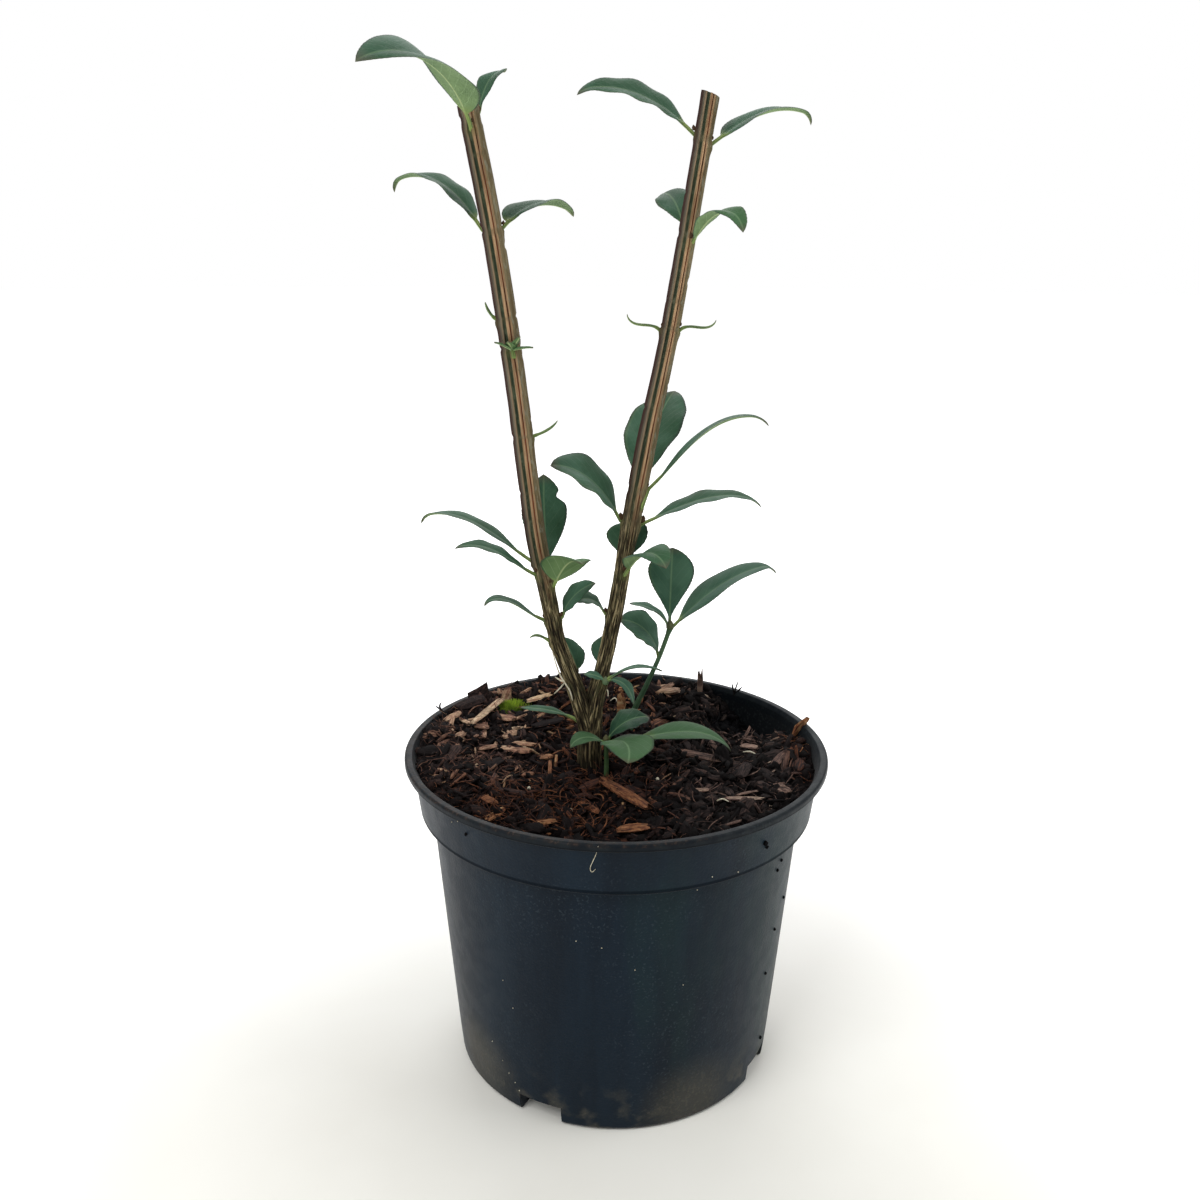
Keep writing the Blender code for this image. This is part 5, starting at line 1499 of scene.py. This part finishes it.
def stem_cap(points, faces, marks, count, stem):
    """The stem with its cut top: an inner ring and a centre, in the colour of cut wood."""
    faces.pop()
    top = points[count * STEM_SIDES:]
    centre = sum(top) / STEM_SIDES
    base = len(points)
    for share, lift in ((0.93, 0.0), (0.5, 0.12)):
        points += [centre + (p - centre) * share + np.array([0.0, 0.0, lift]) for p in top]
    points.append(centre - np.array([0.0, 0.0, 0.25]))
    for label, values in marks.items():
        if label == "grain_place":
            values.extend([tuple(p) for p in points[base:]])
        else:
            values.extend([float(label == "cut")] * (len(points) - base))
    rings = [count * STEM_SIDES, base, base + STEM_SIDES]
    for s in range(STEM_SIDES):
        t = (s + 1) % STEM_SIDES
        faces += [(low + s, low + t, high + t, high + s) for low, high in zip(rings, rings[1:])]
        faces.append((rings[2] + s, rings[2] + t, len(points) - 1))
    return mesh_of(stem + "_stem", points, faces, marks)


def build_stems(finish):
    """Both stems as one piece, with the buds on them."""
    meshes = [stem_mesh("right", 2), stem_mesh("left", 5)] + scale_buds()
    return put("corky_stems", joined("corky_stems", meshes), finish, 50.0)


# Leaves
def slope(plan, s):
    """The midrib's slope at s along it, through the plan's three values."""
    foot, middle, tip = plan.rise
    hooked = plan.hook * max(0.0, s - HOOK_START) / (1.0 - HOOK_START)
    return foot * (1 - s) * (1 - 2 * s) + middle * 4 * s * (1 - s) + tip * s * (2 * s - 1) - hooked


def half_width(plan, s):
    """Half-width of the stalk and blade at s along the midrib."""
    if s <= plan.stalk:
        return STALK_HALF
    t = (s - plan.stalk) / (1 - plan.stalk)
    shape = math.sin(math.pi * t ** (math.log(0.5) / math.log(plan.widest))) ** 0.8 if t < 1 else 0.0
    return max(TIP_HALF + (STALK_HALF - TIP_HALF) * (1 - s), plan.width / 2 * shape)


def midrib_mesh(plan, foot, root=None, steps=64, lead=5):
    """A leaf's midrib as a line of points that carry the blade's directions and half-width.

    With a root, the stalk starts there, inside the stem, and reaches the leaf's foot from it.
    """
    place = np.array(foot, float)
    points, values = [], {label: [] for label in ("side", "up", "half", "thick", "share")}
    first = 0 if root is None else -lead
    narrowing = 0.97 if plan.width >= NARROW_LEAF else 0.4
    for i in range(first, steps + 1):
        s = max(0.0, i / steps)
        if i > 0:
            middle = s - 0.5 / steps
            a, b = math.radians(slope(plan, middle)), math.radians(plan.heading + plan.turn * middle)
            ahead = np.array([math.cos(b) * math.cos(a), math.sin(b) * math.cos(a), math.sin(a)])
            place = place + ahead * plan.length / steps
        a, b = math.radians(slope(plan, s)), math.radians(plan.heading + plan.turn * s)
        ahead = np.array([math.cos(b) * math.cos(a), math.sin(b) * math.cos(a), math.sin(a)])
        right = np.array([math.sin(b), -math.cos(b), 0.0])
        up = np.cross(right, ahead)
        r = math.radians(plan.roll[0] + (plan.roll[1] - plan.roll[0]) * s)
        right, up = right * math.cos(r) - up * math.sin(r), up * math.cos(r) + right * math.sin(r)
        past = max(0.0, s - narrowing) / (1.0 - narrowing)
        closing = math.sqrt(max(0.0, 1.0 - past ** 2)) * (i > first)
        inner = 1.0 + 0.3 * max(0.0, -i / lead)
        points.append(place if i >= 0 else np.array(root) + (place - np.array(root)) * (i + lead) / lead)
        values["side"].append(right)
        values["up"].append(up)
        values["half"].append(half_width(plan, s) * closing * inner)
        blade = soft_step(plan.stalk * 0.8, plan.stalk * 1.8, s)
        blade = blade if plan.width >= NARROW_LEAF else 0.45 * blade
        values["thick"].append((STALK_THICK + (BLADE_THICK - STALK_THICK) * blade) * closing * inner)
        values["share"].append(blade)
    return mesh_of("midrib", points, [], values, [(i, i + 1) for i in range(len(points) - 1)])


def blade_tree():
    """A leaf grown on its midrib: folded and crowned, with a rippled, toothed margin, closed all round."""
    tree, given, give = new_group("leaf_blade", "GeometryNodeTree", [
        ("Midrib", GEOMETRY, None), ("Steps", INTEGER, BLADE_STEPS), ("Columns", INTEGER, BLADE_COLUMNS),
        ("Length", FLOAT, 30.0), ("Fold", FLOAT, BLADE_FOLD), ("Crown", FLOAT, BLADE_CROWN),
        ("Ripple", FLOAT, BLADE_RIPPLE), ("Ripples", FLOAT, 2.5), ("Phase", FLOAT, 0.0),
        ("Teeth", FLOAT, 24.0), ("Tooth depth", FLOAT, TOOTH_DEPTH), ("Rib", FLOAT, RIB_HEIGHT),
        ("Bite at", FLOAT, 0.5), ("Bite depth", FLOAT, 0.0), ("Young", FLOAT, 0.1),
        ("Finish", MATERIAL, None)], [("Geometry", GEOMETRY)])

    def ramp(number, low, high):
        """0 at low, 1 at high."""
        return value(tree, "ShaderNodeMapRange", {"Value": number, "From Min": low, "From Max": high})

    def bell(number):
        """1 at 0, falling away on both sides."""
        return worked_out("EXPONENT", number * number * -1.0)

    grid = value(tree, "GeometryNodeMeshGrid", {
        "Size X": 1.0, "Size Y": 1.0, "Vertices X": given["Steps"] + 1, "Vertices Y": given["Columns"] + 1})
    spot = parts_of(value(tree, "GeometryNodeInputPosition"))
    along, around = spot[0] + 0.5, spot[1] + 0.5
    across = 1.0 - abs(around * 4.0 - 2.0)
    away, below = abs(across), around > 0.5
    line = value(tree, "GeometryNodeMeshToCurve", {"Mesh": given["Midrib"]})

    def on_midrib(label, kind="FLOAT", output=0):
        """A value stored on the midrib, read at this place along it."""
        stored = value(tree, "GeometryNodeInputNamedAttribute", {"Name": label}, data_type=kind)
        return value(tree, "GeometryNodeSampleCurve", {"Curves": line, "Value": stored, "Factor": along},
                     output, data_type=kind, mode="FACTOR", use_all_curves=True)

    side, up = on_midrib("side", "FLOAT_VECTOR"), on_midrib("up", "FLOAT_VECTOR")
    centre = on_midrib("half", output="Position")
    half, thick, blade = (on_midrib(label) for label in ("half", "thick", "share"))
    saw = worked_out("FRACT", along * given["Teeth"])
    tooth = saw * given["Tooth depth"] * away ** 6.0 * ramp(half, 0.7, 2.0)
    bite = given["Bite depth"] * bell((along - given["Bite at"]) / BITE_REACH) * (across > 0.0)
    wide = half * (1.0 - bite) + tooth
    tilt = given["Fold"] * (math.pi / 180.0)
    wave = along * (given["Ripples"] * (2 * math.pi)) + given["Phase"] + across * 1.3
    wave = worked_out("SINE", wave) * given["Ripple"] * (away * away)
    crown = given["Crown"] * worked_out("SINE", away * math.pi)
    lift = (worked_out("SINE", tilt) * away + crown + wave) * (half * blade)
    body = thick * 0.5 * worked_out("SQRT", 1.0001 - across * across)
    rib = bell(across * half / RIB_REACH) * given["Rib"] * (blade * (1.0 - along))
    face = value(tree, "ShaderNodeMix", {0: below, 2: body - rib * 0.35, 3: (body + rib) * -1.0},
                 data_type="FLOAT")
    sideways = wide * across * worked_out("COSINE", tilt)
    shift = vector_sum(scaled(side, sideways), scaled(up, lift + face))
    leaf_shape = grid
    for label, kind, stored in [
            ("blade_place", "FLOAT_VECTOR",
             vector_from(tree, along * given["Length"], across * half, across)),
            ("underside", "FLOAT", below), ("stalk", "FLOAT", 1.0 - blade),
            ("tip", "FLOAT", ramp(along, 0.9, 1.0)), ("young", "FLOAT", given["Young"])]:
        leaf_shape = value(tree, "GeometryNodeStoreNamedAttribute", {
            "Geometry": leaf_shape, "Name": label, "Value": stored}, data_type=kind, domain="POINT")
    for kind, wires in [
            ("GeometryNodeSetPosition", {"Position": vector_sum(centre, scaled(shift, MM))}),
            ("GeometryNodeMergeByDistance", {"Distance": 0.000008}),
            ("GeometryNodeRealizeInstances", {}),
            ("GeometryNodeSetMaterial", {"Material": given["Finish"]})]:
        leaf_shape = value(tree, kind, {"Geometry": leaf_shape, **wires})
    give(Geometry=leaf_shape)
    return tree


def blade_mesh(tree, plan, foot, finish, number, root=None):
    """One leaf's mesh."""
    small = plan.width < NARROW_LEAF
    return run_tree(tree, midrib_mesh(plan, foot, root), {
        "Length": plan.length, "Fold": BLADE_FOLD, "Crown": BLADE_CROWN,
        "Steps": 32 if small else BLADE_STEPS, "Columns": 12 if small else BLADE_COLUMNS,
        "Ripple": 0.0 if small else BLADE_RIPPLE, "Ripples": 2.0 + number % 3, "Phase": 1.7 * number,
        "Teeth": float(round(plan.length / TOOTH_PITCH)), "Tooth depth": 0.0 if small else TOOTH_DEPTH,
        "Rib": 0.12 if small else RIB_HEIGHT, "Bite at": plan.bite[0], "Bite depth": plan.bite[1],
        "Young": plan.young, "Finish": finish})


def seat(stem, height, side, reach=LEAF_SEAT):
    """Where a leaf's foot sits on a stem."""
    a = math.radians(side)
    out = core_radius(stem, height) + reach
    return on_path(stem_parts(stem)[0], height) + out * np.array([math.cos(a), math.sin(a), 0.0])


def bud_mesh(place, radius, lean=(0.0, 0.0), brown=0.0, rings=9, sides=12):
    """A pointed bud with overlapping scales, with the values that the leaf finish reads."""
    points = []
    for r in range(rings):
        t = r / (rings - 1)
        wide = math.sin(math.pi * min(1.0, 0.12 + 0.88 * t) ** 0.8) ** 0.8 if r < rings - 1 else 0.04
        wide *= 1.0 + 0.12 * (r % 3 == 1)
        for s in range(sides):
            a = 2 * math.pi * s / sides
            points.append((place[0] + radius * (wide * math.cos(a) + lean[0] * t),
                           place[1] + radius * (wide * math.sin(a) + lean[1] * t),
                           place[2] + radius * (2.6 * t - 1.0)))
    count = len(points)
    return mesh_of("bud", points, loft_faces(rings, sides), {
        "blade_place": [(2.0, 2.0, 0.5)] * count, "underside": 0.4, "stalk": 0.15, "young": 0.1,
        "tip": [0.75 * (i // sides) / rings for i in range(count)], "scale": brown})


def shoot_mesh(path, half, sides=20, step=1.0):
    """A green shoot along a centre line that thins upwards, a little thicker at its top node."""
    low, high = MIX_LOWEST, path[-1][2]
    count = int((high - low) / step)
    points = []
    for r in range(count + 1):
        height = low + (high - low) * r / count
        centre, across, back = path_frame(path, height)
        taper = 1.0 - SHOOT_TAPER * soft_step(*SHOOT_SPAN, height)
        swell = taper + 0.3 * math.exp(-((height - high) / 1.2) ** 2)
        for s in range(sides):
            a = 2 * math.pi * s / sides
            uneven = 1.0 + 0.08 * math.cos(4 * a) + 0.05 * noise.noise(Vector((a, height, 0.0)))
            out = half * swell * uneven
            points.append(centre + out * (across * math.cos(a) + back * math.sin(a)))
    return mesh_of("shoot", points, loft_faces(count + 1, sides), {
        "blade_place": [(2.0, 2.0, 0.5)] * len(points), "underside": 0.0, "stalk": 0.2, "tip": 0.0,
        "young": 0.12})


def build_leaves(tree, finish):
    """Every leaf on the brown stems, as a piece for each."""
    made = []
    for number, plan in enumerate(STEM_LEAVES):
        foot = seat(plan.stem, plan.height, plan.side)
        drop, side, reach = STALK_ROOTS.get(plan.name, (ROOT_DROP, plan.side, ROOT_REACH))
        root = seat(plan.stem, plan.height - drop, side, reach)
        mesh = blade_mesh(tree, plan, foot, finish, number, root)
        piece = put("blade_" + plan.name[5:], mesh, None, 70.0)
        made.append((piece, plan.name))
    foot = seat("left", STAR_HEIGHT, STAR_SIDE + 10, 1.2)
    root = seat("left", STAR_HEIGHT - 2.4, STAR_SIDE + 14, 0.2)
    leaflets = [leaf("leaflet", "left", STAR_HEIGHT, heading, length, 3.2, (rise, rise, rise - 15),
                     stalk=0.02, widest=0.34, young=0.45) for heading, length, rise in STAR_LEAFLETS]
    meshes = [blade_mesh(tree, plan, foot, finish, 40 + i, root) for i, plan in enumerate(leaflets)]
    meshes.append(bud_mesh(seat("left", STAR_HEIGHT, STAR_SIDE + 10, 0.5), 0.7))
    made.append((put("leaflet_star", joined("leaflet_star", meshes), finish, 70.0), "leaf_left_06"))
    return made


def build_shoot(name, tree, path, plans, finish, number, half):
    """A green shoot with its leaves and its top bud."""
    meshes = [blade_mesh(tree, plan, on_path(path, plan.height - 0.6), finish, number + i)
              for i, plan in enumerate(plans)]
    meshes.append(shoot_mesh(path, half))
    meshes.append(bud_mesh(on_path(path, path[-1][2]) + np.array([0.0, 0.0, 0.9]), 1.3 * half, brown=0.45))
    return put(name, joined(name, meshes), finish, 70.0)


def build_fork_shoot(tree, finish):
    """The leafy bud on the right branch, just over the fork."""
    foot = seat("right", FORK_SHOOT_HEIGHT, FORK_SHOOT_SIDE, 1.7)
    root = seat("right", FORK_SHOOT_HEIGHT - 1.0, FORK_SHOOT_SIDE, -0.5)
    meshes = [blade_mesh(tree, plan, foot, finish, 60 + i, root)
              for i, plan in enumerate(FORK_SHOOT_LEAVES)]
    meshes.append(bud_mesh(foot, 1.0))
    return put("fork_leaves", joined("fork_leaves", meshes), finish, 70.0)


# Moss
def build_moss(finish):
    """A tuft of moss: low cushions thick with short blades."""
    x, y = MOSS_PLACE
    draw = random.Random(4)
    meshes = []
    for lump_x, lump_y, reach, tall in MOSS_LUMPS:
        rings = [(0.98, 0.0), (1.0, 0.3), (0.86, 0.66), (0.6, 0.88), (0.3, 0.97), (0.08, 1.0)]
        points = [(x + lump_x + reach * wide * math.cos(a), y + lump_y + 0.9 * reach * wide * math.sin(a),
                   MOSS_SEAT_HEIGHT - 0.4 + tall * up)
                  for wide, up in rings for a in (2 * math.pi * i / 28 for i in range(28))]
        meshes.append(mesh_of("cushion", points, loft_faces(len(rings), 28)))
        number = int(26 * reach * reach)
        for i in range(number):
            a, radius = 2.4 * i, 0.98 * reach * math.sqrt((i + 0.5) / number)
            high = math.sqrt(max(0.0, 1.0 - (radius / reach) ** 2))
            foot = np.array([x + lump_x + radius * math.cos(a), y + lump_y + 0.9 * radius * math.sin(a),
                             MOSS_SEAT_HEIGHT - 0.6 + tall * (0.25 + 0.75 * high)])
            out = np.array([math.cos(a), math.sin(a), 0.0]) * (radius / reach) * draw.uniform(0.2, 0.9)
            rise = np.array([draw.uniform(-0.4, 0.4), draw.uniform(-0.4, 0.4), draw.uniform(0.6, 1.9)])
            blade = []
            for t, wide in ((0.0, 0.14), (0.5, 0.12), (1.0, 0.02)):
                centre = foot + rise * t + out * t
                for k in range(3):
                    b = a + 2.094 * k
                    blade.append(centre + wide * np.array([math.cos(b), math.sin(b), 0.0]))
            meshes.append(mesh_of("moss_blade", blade, loft_faces(3, 3)))
    return put("moss_blades", joined("moss_blades", meshes), finish, 60.0)


# Room
def build_floor():
    """The floor that the pot stands on."""
    mesh = bpy.data.meshes.new("floor")
    work = bmesh.new()
    bmesh.ops.create_circle(work, cap_ends=True, segments=64, radius=FLOOR_RADIUS)
    work.to_mesh(mesh)
    work.free()
    mesh.transform(Matrix.Translation((0.0, 0.0, -FLOOR_DROP)))
    floor = put("floor", mesh, floor_finish())


def add_light(name, place, size, power):
    """A soft square light that is aimed at the plant, in metres."""
    lamp = bpy.data.lights.new(name, "AREA")
    lamp.shape = "SQUARE"
    lamp.size = size
    lamp.energy = power
    made = bpy.data.objects.new(name, lamp)
    made.location = place
    made.rotation_euler = (Vector(LIGHT_AIM) - Vector(place)).to_track_quat("-Z", "Y").to_euler()
    bpy.context.scene.collection.objects.link(made)


def light_scene():
    """White to the camera, dimmer as light from below and in front, with three large soft lights."""
    scene = bpy.context.scene
    scene.world = bpy.data.worlds.new("pale_room")
    scene.world.use_nodes = True
    tree = scene.world.node_tree
    seen = value(tree, "ShaderNodeLightPath", output="Is Camera Ray")
    way = parts_of(value(tree, "ShaderNodeTexCoord", output="Generated"))
    bright = value(tree, "ShaderNodeMapRange", {
        "Value": way[2], "From Min": -0.3, "From Max": 0.9, "To Min": 0.3, "To Max": 0.75})
    front = value(tree, "ShaderNodeMapRange", {
        "Value": way[1], "From Min": -0.9, "From Max": 0.4, "To Min": 0.5, "To Max": 1.0})
    sky = tree.nodes["Background"]
    sky.inputs["Color"].default_value = (1.0, 1.0, 1.0, 1.0)
    tree.links.new(worked_out("MAXIMUM", bright * front, seen).socket, sky.inputs["Strength"])
    for row in LIGHTS:
        add_light(*row)
    scene.view_settings.view_transform = "Standard"


def place_camera():
    """The camera at the photographer's place."""
    lens = bpy.data.cameras.new("camera")
    lens.lens = lens.sensor_width = CAMERA_LENS
    made = bpy.data.objects.new("camera", lens)
    made.matrix_world = (Matrix.Translation([c * MM for c in CAMERA_PLACE])
                         @ Matrix.Rotation(math.radians(90.0 - CAMERA_PITCH), 4, "X")
                         @ Matrix.Rotation(math.radians(CAMERA_ROLL), 4, "Z"))
    bpy.context.scene.collection.objects.link(made)
    bpy.context.scene.camera = made


def stand_for(piece, slot, *nodes):
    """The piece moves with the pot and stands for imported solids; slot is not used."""
    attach(piece, "root")
    if nodes:
        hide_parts(*nodes)


def main():
    """Build and place everything."""
    place_camera()
    build_floor()
    light_scene()
    bits = chip_finish()
    green = leaf_finish("leaf_green", (32, 60, 55), (54, 84, 76), (100, 142, 70))
    shoot_green = leaf_finish("shoot_green", (26, 52, 36), (42, 70, 48), (80, 110, 74))
    blue_green = leaf_finish("blue_green", (48, 80, 68), (68, 100, 84), (84, 116, 74))
    stand_for(build_pot(pot_finish()), "pot_plastic", "pot")
    stand_for(build_mix(peat_finish()), "potting_mix", "potting_mix")
    for piece in build_bits(bits):
        stand_for(piece, "potting_mix")
    stand_for(build_chips(bits), "potting_mix")
    for piece in build_small_things(bits, hair_finish()):
        stand_for(piece, "potting_mix")
    stand_for(build_stems(bark_finish()), "stem_bark", "winged_stems")
    tree = blade_tree()
    for piece, node in build_leaves(tree, green):
        stand_for(piece, "leaf_green", node)
    side_shoot = build_shoot("side_shoot", tree, SIDE_SHOOT, SIDE_SHOOT_LEAVES, blue_green, 50, SHOOT_HALF)
    stand_for(side_shoot, "young_green", "shoot_side")
    low_shoot = build_shoot("low_shoot", tree, LOW_SHOOT, LOW_SHOOT_LEAVES, shoot_green, 54,
                            0.7 * SHOOT_HALF)
    stand_for(low_shoot, "young_green", "shoot_low")
    stand_for(build_fork_shoot(tree, blue_green), "young_green", "shoot_fork")
    stand_for(build_moss(moss_finish()), "moss", "moss_tuft")


main()
